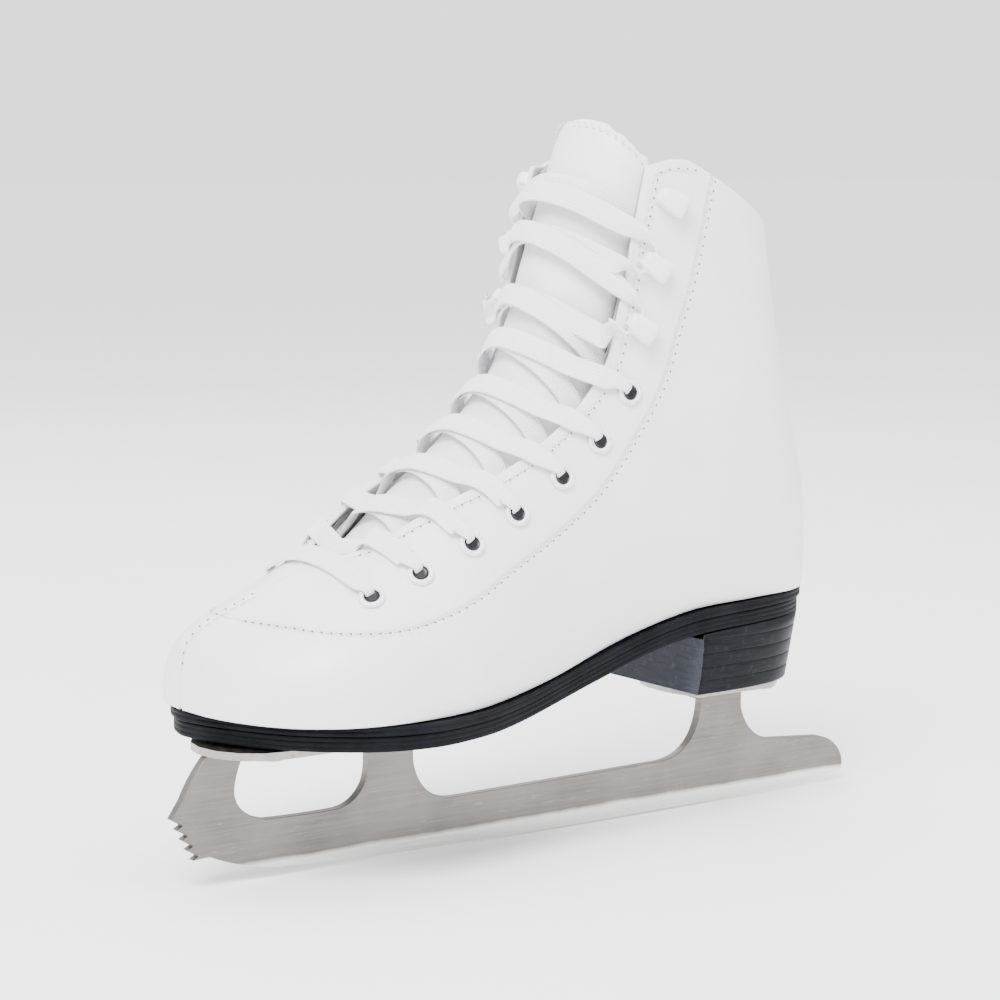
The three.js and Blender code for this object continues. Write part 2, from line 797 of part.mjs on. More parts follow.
bend(-74, 19.2, -82, 19);
bend(-96, 18.7, -108, 19.4);
bend(-121.8, 23, -118.6, 34);
bladeShape.quadraticCurveTo(X(-117.6), ZB(38.5), X(FRONT_TOP[1]), BLADE_TOP);
const bladeGeometry = new THREE.ExtrudeGeometry(bladeShape, {
  depth: BLADE_THICKNESS,
  bevelEnabled: false,
  curveSegments: 6,
});
bladeGeometry.rotateX(Math.PI / 2);
bladeGeometry.translate(0, BLADE_THICKNESS / 2, 0);
add("blade", bladeGeometry, STEEL, 0.36, 0.9);

// A plate with round ends, in plan.
function plateOutline(x0, x1, halfWidth, frontRound, backRound) {
  const outline = [];
  const steps = 8;
  for (let i = 0; i <= steps; i += 1) {
    const a = Math.PI / 2 + (Math.PI * i) / steps;
    outline.push([x0 + frontRound + frontRound * Math.cos(a), halfWidth * Math.sin(a)]);
  }
  for (let i = 0; i <= steps; i += 1) {
    const a = -Math.PI / 2 + (Math.PI * i) / steps;
    outline.push([x1 - backRound + backRound * Math.cos(a), halfWidth * Math.sin(a)]);
  }
  return outline;
}
const solePlateEnds = [X(-131), X(-44)];
const heelPlateEnds = [X(55), X(104)];
let solePlate = planPrism(
  plateOutline(...solePlateEnds, SOLE_PLATE_HALF_WIDTH, X(20), X(12)),
  PLATE_BOTTOM,
  PLATE_TOP,
);
let heelPlate = planPrism(
  plateOutline(...heelPlateEnds, HEEL_PLATE_HALF_WIDTH, X(8), X(16)),
  PLATE_BOTTOM,
  PLATE_TOP,
);

function rivet(length) {
  const top = PLATE_BOTTOM - GAP;
  const profile = [
    [0, top - RIVET_HEAD_HEIGHT],
    [RIVET_HEAD_RADIUS * 0.6, top - RIVET_HEAD_HEIGHT],
    [RIVET_HEAD_RADIUS, top - RIVET_HEAD_HEIGHT * 0.35],
    [RIVET_HEAD_RADIUS, top],
    [RIVET_RADIUS, top],
    [RIVET_RADIUS, top + length],
    [0, top + length],
  ];
  return turned(profile, 8);
}

const rivetAcross = SOLE_PLATE_HALF_WIDTH - 8;
const heelRivetAcross = HEEL_PLATE_HALF_WIDTH - 7.5;
const solePlaces = [-112, -88, -60].flatMap((x) => [
  [X(x), -rivetAcross],
  [X(x), rivetAcross],
]);
const heelPlaces = [64, 94].flatMap((x) => [
  [X(x), -heelRivetAcross],
  [X(x), heelRivetAcross],
]);
// Sole rivets end flush with the top of the insole board.
const soleRivetLength = SOLE_TOP + GAP + BOARD_THICKNESS - PLATE_BOTTOM;
const shankHoles = [];
function fasten(prefix, places, length) {
  places.forEach(([x, y], i) => {
    add(prefix + "_" + (i + 1), rivet(length).translate(x, y, 0), STEEL, 0.4, 0.85);
    const low = PLATE_BOTTOM - 1;
    const hole = cylinder(RIVET_RADIUS + PLAY, low, PLATE_BOTTOM + length + PLAY);
    shankHoles.push(solid(hole.translate(x, y, 0)));
  });
}
fasten("sole_plate_rivet", solePlaces, soleRivetLength);
fasten("heel_plate_rivet", heelPlaces, HEEL_RIVET_LENGTH);
const shanks = wasm.Manifold.compose(shankHoles);
solePlate = solePlate.subtract(shanks);
heelPlate = heelPlate.subtract(shanks);
midsole = midsole.subtract(shanks);
outsole = outsole.subtract(shanks);
heel = heel.subtract(shanks);
add("sole_plate", solePlate, STEEL, 0.4, 0.85);
add("heel_plate", heelPlate, STEEL, 0.4, 0.85);
add("midsole", midsole, BLACK, 0.4);
add("outsole", outsole, BLACK, 0.42);
add("heel", heel, BLACK, 0.38);
add("insole_board", board.subtract(shanks), TAN, 0.9);

// ---------------------------------------------------------------- eyelets and hooks

function eyelet() {
  const outer = EYELET_BORE + EYELET_WALL;
  const top = EYELET_SEAT + EYELET_FLANGE_HEIGHT;
  const profile = [
    [EYELET_BORE, EYELET_BOTTOM],
    [outer, EYELET_BOTTOM],
    [outer, EYELET_SEAT],
    [EYELET_FLANGE_RADIUS, EYELET_SEAT],
    [EYELET_FLANGE_RADIUS - 0.8, top],
    [EYELET_BORE, top - 0.3],
    [EYELET_BORE, EYELET_BOTTOM],
  ];
  return turned(profile, 10);
}
const countOf = { left: 0, right: 0 };
for (const { sideName, matrix } of eyeletSeats) {
  countOf[sideName] += 1;
  add("eyelet_" + sideName + "_" + countOf[sideName], eyelet().applyMatrix4(matrix), WHITE, 0.3);
}

// A hook: a round base under a folded cap that is open away from the throat.
function hook() {
  const low = GAP + 0.1;
  const baseTop = low + HOOK_BASE_THICKNESS;
  const capLow = baseTop + HOOK_SLOT;
  const capTop = capLow + HOOK_CAP;
  const neck = 1.6;
  const front = HOOK_BASE_RADIUS + 0.6;
  const outline = [
    [-HOOK_BASE_RADIUS, low],
    [front, low],
    [front + neck, low + 1],
    [front + neck, capTop - 1],
    [front, capTop],
    [front + neck - HOOK_REACH + 1, capTop],
    [front + neck - HOOK_REACH, capTop - 0.6],
    [front + neck - HOOK_REACH, capLow - 0.5],
    [front, capLow],
    [front, baseTop],
    [-HOOK_BASE_RADIUS, baseTop],
  ];
  const bar = sidePrism(outline, -HOOK_HEIGHT / 2, HOOK_HEIGHT / 2);
  const round = cylinder(HOOK_BASE_RADIUS + 3, -1, 9, 14);
  round.scale(1.16, HOOK_HEIGHT / (2 * (HOOK_BASE_RADIUS + 3)) + 0.06, 1);
  const hole = solid(cylinder(HOOK_RIVET_RADIUS + PLAY, -1, baseTop + 1, 8));
  return bar.intersect(solid(round)).subtract(hole);
}
function hookRivet() {
  const top = GAP + 0.1 + HOOK_BASE_THICKNESS + GAP;
  const low = -LINING_BOTTOM - 1;
  const head = HOOK_RIVET_RADIUS + 1.1;
  const profile = [
    [0, low - 0.8],
    [head + 1, low - 0.8],
    [head + 1, low],
    [HOOK_RIVET_RADIUS, low],
    [HOOK_RIVET_RADIUS, top],
    [head, top],
    [head * 0.6, top + 0.6],
    [0, top + 0.6],
  ];
  return turned(profile, 8);
}
const hookCount = { left: 0, right: 0 };
for (const { sideName, matrix } of hookSeats) {
  hookCount[sideName] += 1;
  const number = sideName + "_" + hookCount[sideName];
  add("lace_hook_" + number, geometryOf(hook()).applyMatrix4(matrix), WHITE, 0.3);
  add("hook_rivet_" + number, hookRivet().applyMatrix4(matrix), STEEL, 0.4, 0.85);
}

// ---------------------------------------------------------------- tongue

const TONGUE_ROWS = 12;
const TONGUE_COLUMNS = 8;
const TONGUE_FIRST_RING = 7.75;
const TONGUE_LAST_RING = 20.35;

// Half width of the tongue, narrow at the seam in the vamp and rounded at the top.
function tongueHalfWidth(f) {
  const base = THREE.MathUtils.lerp(0.42, 1, Math.sin((Math.min(f * 2.4, 1) * Math.PI) / 2));
  const top = f > 0.9 ? 1 - 6 * Math.pow(f - 0.9, 2) : 1;
  return TONGUE_HALF_WIDTH * base * top;
}

function tongueLayer(depth, thickness, inset) {
  const rows = [];
  for (let i = 0; i <= TONGUE_ROWS; i += 1) {
    const f = i / TONGUE_ROWS;
    const u = TONGUE_FIRST_RING + (TONGUE_LAST_RING - TONGUE_FIRST_RING) * f;
    const half = tongueHalfWidth(f) - inset;
    const row = [];
    for (let j = 0; j <= TONGUE_COLUMNS; j += 1) {
      const across = half * ((2 * j) / TONGUE_COLUMNS - 1);
      row.push({
        high: onFront(u, across, -depth).point,
        low: onFront(u, across, -depth - thickness).point,
      });
    }
    rows.push(row);
  }
  const positions = [];
  const quad = (a, b, c, d) => {
    positions.push(...a.toArray(), ...b.toArray(), ...c.toArray());
    positions.push(...a.toArray(), ...c.toArray(), ...d.toArray());
  };
  const R = TONGUE_ROWS;
  const C = TONGUE_COLUMNS;
  for (let i = 0; i < R; i += 1) {
    for (let j = 0; j < C; j += 1) {
      quad(rows[i][j].high, rows[i + 1][j].high, rows[i + 1][j + 1].high, rows[i][j + 1].high);
      quad(rows[i][j].low, rows[i][j + 1].low, rows[i + 1][j + 1].low, rows[i + 1][j].low);
    }
    quad(rows[i][0].high, rows[i][0].low, rows[i + 1][0].low, rows[i + 1][0].high);
    quad(rows[i][C].high, rows[i + 1][C].high, rows[i + 1][C].low, rows[i][C].low);
  }
  for (let j = 0; j < C; j += 1) {
    quad(rows[0][j].high, rows[0][j + 1].high, rows[0][j + 1].low, rows[0][j].low);
    quad(rows[R][j].high, rows[R][j].low, rows[R][j + 1].low, rows[R][j + 1].high);
  }
  const geometry = new THREE.BufferGeometry();
  geometry.setAttribute("position", new THREE.Float32BufferAttribute(positions, 3));
  return geometry;
}

// The tongue's layers are flat facets over a round form, so they lie a little further apart.
const TONGUE_GAP = 0.5;
const foamTop = TONGUE_TOP + TONGUE_COVER + TONGUE_GAP;
const tongueLiningTop = foamTop + TONGUE_FOAM + TONGUE_GAP;
add("tongue_cover", tongueLayer(TONGUE_TOP, TONGUE_COVER, 0), WHITE, 0.42);
add("tongue_foam", tongueLayer(foamTop, TONGUE_FOAM, 1.5), 0xd9d4c7, 0.95);
add("tongue_lining", tongueLayer(tongueLiningTop, TONGUE_LINING, 0.5), GREY_LINING, 0.95);

// ---------------------------------------------------------------- lace

// One flat lace. Its middle is a bar over the vamp. Both ends run down through the first
// eyelets, cross under the facings to the next eyelets and so on, go round the two lower
// pairs of hooks and are tucked behind the facings.
// A stop is [ring, distance across, height, width, twist]: twist 0 lies flat, 1 stands on edge.
const FLAT = LACE_WIDTH;
const THIN = LACE_BUNCHED;
const HALF_LACE = LACE_THICKNESS / 2;
const LACE_LAYER = LACE_THICKNESS + GAP + 0.1;
const OVER = GAP + HALF_LACE + 0.5;
const OVER_FLANGE = EYELET_SEAT + EYELET_FLANGE_HEIGHT + GAP + HALF_LACE + 0.3;
const UNDER = -UNDER_LINING - HALF_LACE;
const UNDER_EYELET = EYELET_BOTTOM - GAP - HALF_LACE;
const ON_TONGUE = UNDER + 1.7;

function downThrough([u, fromEdge], side) {
  const hole = edgeAt(u, side) + fromEdge;
  return [
    [u - 0.05, side * (hole - 7), OVER + 0.9, 5.5, 0],
    [u, side * (hole - 2.2), OVER_FLANGE, THIN, 0],
    [u, side * (hole - 0.5), OVER_FLANGE - 0.5, THIN, 0],
    [u, side * hole, OVER_FLANGE - 1.8, THIN, 0],
    [u, side * hole, EYELET_BOTTOM + 0.6, THIN, 0],
    [u, side * (hole - 0.5), UNDER_EYELET + 0.4, THIN, 0],
    [u, side * (hole - 2), UNDER_EYELET, THIN, 0],
    [u + 0.03, side * (hole - 7), UNDER_EYELET - 0.05, 5.5, 0],
  ];
}
// From under the facing on one side, over the tongue, to above the facing on the other.
function crossOver(u0, u1, side, upper, reach) {
  const at = (f) => u0 + (u1 - u0) * f;
  const from = (f) => side * edgeAt(at(f), side);
  const to = (f) => -side * edgeAt(at(f), -side);
  const inward = side;
  const lift = upper ? LACE_LAYER : 0;
  // The facings' edges draw back quickly over the first crossing.
  const first = u0 < EYELETS[1][0];
  const under = first ? UNDER - 0.35 : UNDER;
  const rise = first ? -0.65 : 1;
  const leave = first ? ON_TONGUE - 0.8 : ON_TONGUE;
  const clear = first ? 3.1 : 0;
  const points = [
    [at(0.12), from(0.12) + inward * 4, under, FLAT, 0],
    [at(0.32), from(0.32) * 0.85, UNDER + rise, FLAT, 0],
    [at(0.42), from(0.42) * 0.5, leave + lift, FLAT, 0],
    [at(0.5), side * 0.4, ON_TONGUE + lift, FLAT, 0],
    [at(0.58), to(0.58) * 0.45, ON_TONGUE + lift, FLAT, 0],
    [at(0.68), to(0.68) * 0.74, -3 + lift * 0.4, FLAT, 0],
    [at(0.74), to(0.74) * 0.87, clear, FLAT, 0],
    [at(0.81), to(0.81) * 0.97, OVER + 0.3 + clear, FLAT, 0],
    [at(0.87), to(0.87) - inward * 2, OVER + 1, FLAT, 0],
  ];
  for (const f of [0.35, 0.65]) {
    if (reach > 14) points.push([at(0.88 + 0.1 * f), to(0.95) - inward * reach * f, OVER, FLAT, 0]);
  }
  return points;
}
// Round a hook's neck, from below it to above it, in the slot behind the neck: places in the
// hook's own frame.
const HOOK_CLEAR = HOOK_HEIGHT / 2 + GAP + HALF_LACE;
function roundHook(number, side) {
  const { matrix } = hookSeats.find((seat) => seat.number === number && seat.side === side);
  const x = new THREE.Vector3();
  const y = new THREE.Vector3();
  const z = new THREE.Vector3();
  matrix.extractBasis(x, y, z);
  const upwards = Math.sign(y.z);
  const neck = HOOK_BASE_RADIUS + 0.6;
  const slot = GAP + 0.1 + HOOK_BASE_THICKNESS + HOOK_SLOT / 2;
  const high = HOOK_SLOT - 4 * GAP;
  const turn = [
    [neck + 6.5, -HOOK_CLEAR - 1.2, slot - 0.6, 4.5, 0.4],
    [neck + 2.8, -HOOK_CLEAR - 0.3, slot, high, 1],
    [neck - 0.3, -HOOK_CLEAR, slot, high, 1],
    [neck - 1.5, -HOOK_CLEAR + 2, slot, high, 1],
    [neck - 1.6, -HOOK_CLEAR + 4, slot, high, 1],
  ];
  const back = turn.map(([a, b, ...rest]) => [a, -b, ...rest]).reverse();
  return turn.concat(back).map(([a, b, c, width, twist]) => ({
    point: new THREE.Vector3(a, b * upwards, c).applyMatrix4(matrix),
    normal: z,
    along: y.clone().multiplyScalar(upwards),
    width,
    twist,
  }));
}
// From a hook on one side over the tongue to just below a hook on the other.
function crossHigh(u0, u1, side, upper) {
  const at = (f) => u0 + (u1 - u0) * f;
  const from = (f) => side * edgeAt(at(f), side);
  const to = (f) => -side * edgeAt(at(f), -side);
  const lift = upper ? LACE_LAYER : 0;
  return [
    [at(0.16), from(0.16) * 0.85, -0.6, FLAT, 0.1],
    [at(0.34), from(0.34) * 0.45, -3.6 + lift, FLAT, 0],
    [at(0.5), side * 0.5, -4.2 + lift, FLAT, 0],
    [at(0.66), to(0.66) * 0.45, -3.6 + lift, FLAT, 0],
    [at(0.84), to(0.84) * 0.85, -0.6, FLAT, 0.1],
  ];
}

// Ring distance from a hook's middle to where the lace leaves it.
const PAST_HOOK = 0.54;

// One end of the lace, from the bar's middle up to where it is tucked away.
function laceEnd(start) {
  let side = start;
  const points = [];
  const [first, firstReach] = EYELETS[0];
  const bar = edgeAt(first, side) + firstReach;
  for (const f of [0.2, 0.4, 0.6]) points.push([first, side * bar * f, OVER, FLAT, 0]);
  points.push(...downThrough(EYELETS[0], side));
  for (let k = 1; k < EYELETS.length; k += 1) {
    const upper = (k % 2 === 1) === start > 0;
    points.push(...crossOver(EYELETS[k - 1][0], EYELETS[k][0], side, upper, EYELETS[k][1]));
    side = -side;
    points.push(...downThrough(EYELETS[k], side));
  }
  const below = HOOKS[0][0] - PAST_HOOK;
  points.push(...crossOver(EYELETS[EYELETS.length - 1][0], below, side, start < 0, 0));
  side = -side;
  points.push(...roundHook(0, side));
  const low = HOOKS[0][0] + PAST_HOOK;
  points.push(...crossHigh(low, HOOKS[1][0] - PAST_HOOK, side, start > 0));
  side = -side;
  points.push(...roundHook(1, side));
  const high = HOOKS[1][0] + PAST_HOOK;
  const tuck = HOOKS[1][0] + 1.1;
  points.push(...crossHigh(high, tuck, side, start < 0).slice(0, 4));
  side = -side;
  points.push([tuck - 0.1, side * (edgeAt(tuck, side) - 8), UNDER + 0.6, FLAT, 0]);
  points.push([tuck, side * (edgeAt(tuck, side) - 2), UNDER, FLAT, 0]);
  points.push([tuck + 0.05, side * (edgeAt(tuck, side) + 5), UNDER, FLAT, 0]);
  return points;
}

function ribbon(route) {
  const places = route.map((stop) => {
    if (!Array.isArray(stop)) return stop;
    const [u, across, lift, width, twist] = stop;
    return { ...onFront(u, across, lift), width, twist };
  });
  const sections = places.map((place, i) => {
    const before = places[Math.max(i - 1, 0)].point;
    const after = places[Math.min(i + 1, places.length - 1)].point;
    const travel = after.clone().sub(before).normalize();
    const wide = place.along.clone().lerp(place.normal, place.twist);
    wide.addScaledVector(travel, -wide.dot(travel)).normalize();
    const thick = travel.clone().cross(wide).multiplyScalar(HALF_LACE);
    wide.multiplyScalar(place.width / 2);
    const corner = (a, b) => place.point.clone().addScaledVector(wide, a).addScaledVector(thick, b);
    return [corner(1, 1), corner(-1, 1), corner(-1, -1), corner(1, -1)];
  });
  const positions = [];
  const quad = (a, b, c, d) => {
    positions.push(...a.toArray(), ...b.toArray(), ...c.toArray());
    positions.push(...a.toArray(), ...c.toArray(), ...d.toArray());
  };
  for (let i = 0; i + 1 < sections.length; i += 1) {
    for (let j = 0; j < 4; j += 1) {
      const k = (j + 1) % 4;
      quad(sections[i][j], sections[i][k], sections[i + 1][k], sections[i + 1][j]);
    }
  }
  const last = sections[sections.length - 1];
  quad(sections[0][3], sections[0][2], sections[0][1], sections[0][0]);
  quad(last[0], last[1], last[2], last[3]);
  const geometry = new THREE.BufferGeometry();
  geometry.setAttribute("position", new THREE.Float32BufferAttribute(positions, 3));
  return geometry;
}

// The width direction keeps the same sense on both ends, so the left end is walked backwards.
const barMiddle = [EYELETS[0][0], 0.01, OVER, FLAT, 0];
const route = laceEnd(-1).reverse().concat([barMiddle], laceEnd(1));
add("lace", ribbon(route), WHITE, 0.85);

// The heel seat of the footbed becomes the origin.
const HEEL_SEAT = [X(75), soleTop(X(75)) + bedLow + FOOTBED_THICKNESS];
root.position.set(-HEEL_SEAT[0], 0, -HEEL_SEAT[1]);

export default root;
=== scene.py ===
"""A left figure skate: soft white leather over a black sole and heel, riveted to a toothed blade.

Metres in the scene and millimetres in the shape functions. Shapes are drawn with z = 0 at the
running edge and x = 0 at the middle of the blade, and `world` moves them to the heel seat.
"""
import math

import bmesh
import bpy
import numpy as np
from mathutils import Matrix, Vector, noise

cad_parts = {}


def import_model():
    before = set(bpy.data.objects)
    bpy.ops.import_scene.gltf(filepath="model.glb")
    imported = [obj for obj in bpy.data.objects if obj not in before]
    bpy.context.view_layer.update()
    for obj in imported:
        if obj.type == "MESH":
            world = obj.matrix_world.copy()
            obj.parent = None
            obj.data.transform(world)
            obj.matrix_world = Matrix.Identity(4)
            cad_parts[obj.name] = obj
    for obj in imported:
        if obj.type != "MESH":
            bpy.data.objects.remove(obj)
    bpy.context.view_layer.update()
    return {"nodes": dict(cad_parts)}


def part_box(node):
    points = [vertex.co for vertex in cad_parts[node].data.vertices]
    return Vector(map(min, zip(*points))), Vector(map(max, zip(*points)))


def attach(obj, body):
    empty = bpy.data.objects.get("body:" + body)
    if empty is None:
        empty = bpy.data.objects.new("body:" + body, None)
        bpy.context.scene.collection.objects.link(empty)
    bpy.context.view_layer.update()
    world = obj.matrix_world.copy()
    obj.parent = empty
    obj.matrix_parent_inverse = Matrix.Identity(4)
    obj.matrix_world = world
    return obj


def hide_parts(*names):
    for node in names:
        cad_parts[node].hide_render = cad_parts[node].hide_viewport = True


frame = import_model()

bl_info = {
    "name": "Figure skate",
    "version": (1, 0, 0),
    "blender": (4, 5, 0),
    "location": "View3D > Sidebar > Skate",
    "description": "Finishes a figure skate round its packed frame",
    "category": "Object",
}

MM = 0.001
# A distance from edges and stitched lines at which the leather's finish is plain.
PLAIN = 9.0
HEEL_SEAT = (75.0, 0.0, 84.6)
NODES = frame["nodes"]

# Layers of the upper and the tongue, in millimetres from the boot's outer surface.
LEATHER = 1.8
LINING_TOP = 4.4
LINING_BOTTOM = 5.6
GAP = 0.3
TONGUE_TOP = 7.8
TONGUE_THICK = 8.2
TONGUE_HALF_WIDTH = 50.0
THROAT_HALF_WIDTH = 30.5
BLADE_HEIGHT = 46.0
BLADE_THICK = 3.5
OUTSOLE_THICK = 5.0
MIDSOLE_THICK = 3.2
LACE_WIDTH = 7.6
LACE_THICK = 1.3
LACE_BUNCHED = 3.2

# Rings across the boot, from the toe tip back and up to above the cuff: front x, front z,
# back x, back z, left half width, right half width, middle y, widest place, roundness behind
# and in front of it.
RINGS = np.array([
    [-132.3, 63, -132.3, 61, 0.02, 0.02, 10, 0.4, 2.6, 2],
    [-132, 71, -132, 50, 10, 8, 10, 0.4, 3, 2],
    [-130.8, 76, -130.7, 47.5, 19, 14, 10, 0.4, 3.5, 2],
    [-127.8, 80, -127, 46.5, 28, 20, 9.5, 0.4, 4, 2],
    [-122.5, 84, -120.5, 46, 36, 26, 8.5, 0.4, 4.5, 2],
    [-113, 88.5, -110, 46, 43.5, 32, 7, 0.4, 5, 2],
    [-101, 94.5, -96, 46, 48.5, 37, 5, 0.4, 5, 2],
    [-88, 102, -78, 46, 49, 40.5, 3, 0.4, 4.5, 2],
    [-75, 112.5, -57, 46, 47, 41.5, 1.5, 0.42, 4, 2],
    [-61, 126, -34, 48, 44.5, 41.5, 0.5, 0.45, 3.2, 2],
    [-46, 139, -8, 53, 42, 40.5, 0, 0.47, 2.7, 2],
    [-33, 151, 20, 62, 40, 39.5, 0, 0.5, 2.6, 2],
    [-23, 162.5, 52, 69, 39, 39, 0, 0.52, 2.8, 2],
    [-17.5, 174, 85, 69, 38.5, 38.5, 0, 0.54, 2.9, 2],
    [-13, 186, 107.5, 71, 38, 38, 0, 0.56, 2.6, 2],
    [-9.5, 198, 112.5, 94, 38, 38, 0, 0.56, 2.3, 2],
    [-5.5, 209, 110.5, 115, 38, 38, 0, 0.55, 2.2, 2],
    [-2, 219, 104, 138, 38, 38, 0, 0.54, 2.2, 2],
    [2, 229, 98, 160, 38, 38, 0, 0.52, 2.2, 2],
    [6, 239, 92.5, 184, 38, 38, 0, 0.5, 2.2, 2],
    [10, 248, 88.5, 207, 38, 38, 0, 0.5, 2.2, 2],
    [15, 260, 87, 232, 38, 38, 0, 0.5, 2.2, 2],
])
LAST_RING = len(RINGS) - 1
SOLE_PROFILE = [
    (-134, 56), (-115, 54.8), (-90, 54.5), (-62, 54.5), (-40, 55.6), (-16, 59.5),
    (8, 65.6), (30, 72), (50, 76.4), (75, 78.2), (100, 79), (114, 79.4),
]
CUFF_PROFILE = [
    (-60, 229), (24, 229.5), (32, 231.5), (42, 230.2), (52, 226.5), (64, 219),
    (76, 210.5), (88, 205), (120, 203),
]
# x, share of the throat's half width on the left and on the right.
THROAT = [
    (-84, 0.13, 0.2), (-82.5, 0.32, 0.38), (-79, 0.45, 0.5), (-72, 0.6, 0.64),
    (-60, 0.77, 0.78), (-45, 0.9, 0.9), (-28, 0.98, 0.97), (-10, 1, 0.96), (10, 1, 0.84),
    (40, 1, 0.8),
]
THROAT_START = -84.0
# Half outline of the sole in plan: x, left y, right y.
SOLE_OUTLINE = [
    (-130.5, 2, 19), (-126.5, -6.5, 26.5), (-118, -18.5, 33), (-104, -33, 38.5),
    (-88, -43.2, 42.5), (-70, -46.5, 44), (-50, -43.5, 42), (-30, -38, 37),
    (-10, -32.5, 31.5), (12, -29.5, 28.5), (34, -29, 28.5), (56, -30.5, 30), (78, -30, 30),
    (94, -26, 26), (105, -18.5, 18.5), (111, -9, 9),
]
TOE_POINT = (-132.4, 10.5)
HEEL_POINT = (113, 0)
# Stitching that edges the facings, in side view (x, z), from the toe seam to the cuff.
VAMP_STITCH = [
    (-117, 85.6), (-110, 85), (-101, 84), (-83, 84), (-67, 87), (-53, 92), (-40, 99),
    (-20, 109.5), (-2, 121.5), (13, 137), (26, 155), (33, 175), (38, 190), (42, 206), (46, 224),
]
# Ring and distance from the facing's edge of each eyelet and hook, from the toe up.
EYELETS = [(7.1, 28.5), (8.15, 19.5), (9.2, 17.5), (10.15, 14.8), (11.2, 13), (12.25, 13), (13.7, 12)]
HOOKS = [(15.1, 10), (16.8, 11), (18.6, 12)]
HOOK_BASE_RADIUS = 4.4
HOOK_BASE_THICK = 1.0
HOOK_SLOT = 3.2
HOOK_REACH = 11.0
HOOK_HEIGHT = 8.0
EYELET_SEAT = 0.6
EYELET_HEIGHT = 0.9
EYELET_BORE = 2.6
EYELET_TUBE = 3.1
EYELET_FLANGE = 4.3
# The stage, in metres.
CAMERA_PLACE = (-0.60927, -0.74290, 0.14343)
LIGHT_AIM = Vector((-0.02, 0, 0.03))
FLOOR_REACH = 40.0
FLOOR_DROP = 0.0006


def world(point):
    """Moves a drawn point in millimetres to its place in the scene, in metres."""
    return [(point[k] - HEEL_SEAT[k]) * MM for k in range(3)]


def spline(values, t):
    """A smooth value through evenly spaced control values."""
    last = len(values) - 1
    i = int(min(math.floor(t), last - 1))
    f = t - i
    p0, p1, p2, p3 = values[max(i - 1, 0)], values[i], values[i + 1], values[min(i + 2, last)]
    curve = 2 * p0 - 5 * p1 + 4 * p2 - p3
    twist = 3 * (p1 - p2) + p3 - p0
    return p1 + 0.5 * f * (p2 - p0 + f * (curve + f * twist))


def profile(points, x):
    """Height of a smooth profile at x, through control points in rising x."""
    if x <= points[0][0]:
        return points[0][1]
    if x >= points[-1][0]:
        return points[-1][1]
    i = 0
    while points[i + 1][0] < x:
        i += 1
    heights = [z for _, z in points]
    return spline(heights, i + (x - points[i][0]) / (points[i + 1][0] - points[i][0]))


def sole_top(x):
    return profile(SOLE_PROFILE, x)


def cuff_top(x):
    return profile(CUFF_PROFILE, x)


def throat_half(x, side):
    return profile([(p[0], p[1] if side < 0 else p[2]) for p in THROAT], x) * THROAT_HALF_WIDTH


def smooth_path(points, steps):
    """Points along a smooth open curve through the given ones."""
    points = np.array(points, float)
    stops = [spline(points, i / steps) for i in range((len(points) - 1) * steps)]
    return np.array(stops + [points[-1]])


class Ring:
    """One side of a ring across the boot, from the back line to the front line."""

    STEPS = 160
    made = {}

    def __init__(self, u, side):
        fx, fz, bx, bz, left, right, middle, widest, back, front = spline(RINGS, u)
        width = left if side < 0 else right
        angle = np.linspace(0, math.pi, self.STEPS + 1)
        behind = angle < math.pi / 2
        power = 2 / np.where(behind, back, front)
        reach = np.abs(np.cos(angle)) ** power
        along = np.where(behind, widest * (1 - reach), widest + (1 - widest) * reach)
        out = width * np.clip(np.sin(angle), 0, 1) ** power
        out[0] = out[-1] = 0
        self.points = np.stack(
            [bx + (fx - bx) * along, middle + side * out, bz + (fz - bz) * along], 1
        )
        steps = np.linalg.norm(np.diff(self.points, axis=0), axis=1)
        self.arc = np.concatenate([[0], np.cumsum(steps)])
        self.length = self.arc[-1]
        self.along = along

    def at(self, distance):
        """Points at distances in millimetres from the back line."""
        return np.stack([np.interp(distance, self.arc, self.points[:, k]) for k in range(3)], -1)

    @classmethod
    def of(cls, u, side):
        key = (round(float(u), 5), side)
        if key not in cls.made:
            cls.made[key] = cls(u, side)
        return cls.made[key]


def surface(u, side, share, lift=0.0):
    """Points and outward normals at shares of a ring, from its back line (0) to its front (1)."""
    share = np.atleast_1d(np.asarray(share, float))
    ring = Ring.of(u, side)
    low, high = max(u - 0.12, 0.0), min(u + 0.12, LAST_RING)
    before, after = Ring.of(low, side), Ring.of(high, side)
    along = after.at(share * after.length) - before.at(share * before.length)
    reach = 1.2 / max(ring.length, 3)
    s0 = np.clip(share - reach, 0, 1) * ring.length
    s1 = np.clip(share + reach, 0, 1) * ring.length
    across = ring.at(s1) - ring.at(s0)
    normal = np.cross(across, along) * side
    size = np.linalg.norm(normal, axis=1, keepdims=True)
    normal = normal / np.maximum(size, 1e-9)
    point = ring.at(share * ring.length)
    lift = np.broadcast_to(np.asarray(lift, float), share.shape)
    return point + normal * lift[:, None], normal, along / np.maximum(
        np.linalg.norm(along, axis=1, keepdims=True), 1e-9
    )


def on_front(u, across, lift=0.0):
    """Place on the front, by its distance round from the front line (left is negative)."""
    side = -1 if across < 0 else 1
    share = 1 - abs(across) / Ring.of(u, side).length
    point, normal, along = surface(u, side, share, lift)
    return point[0], normal[0], along[0]


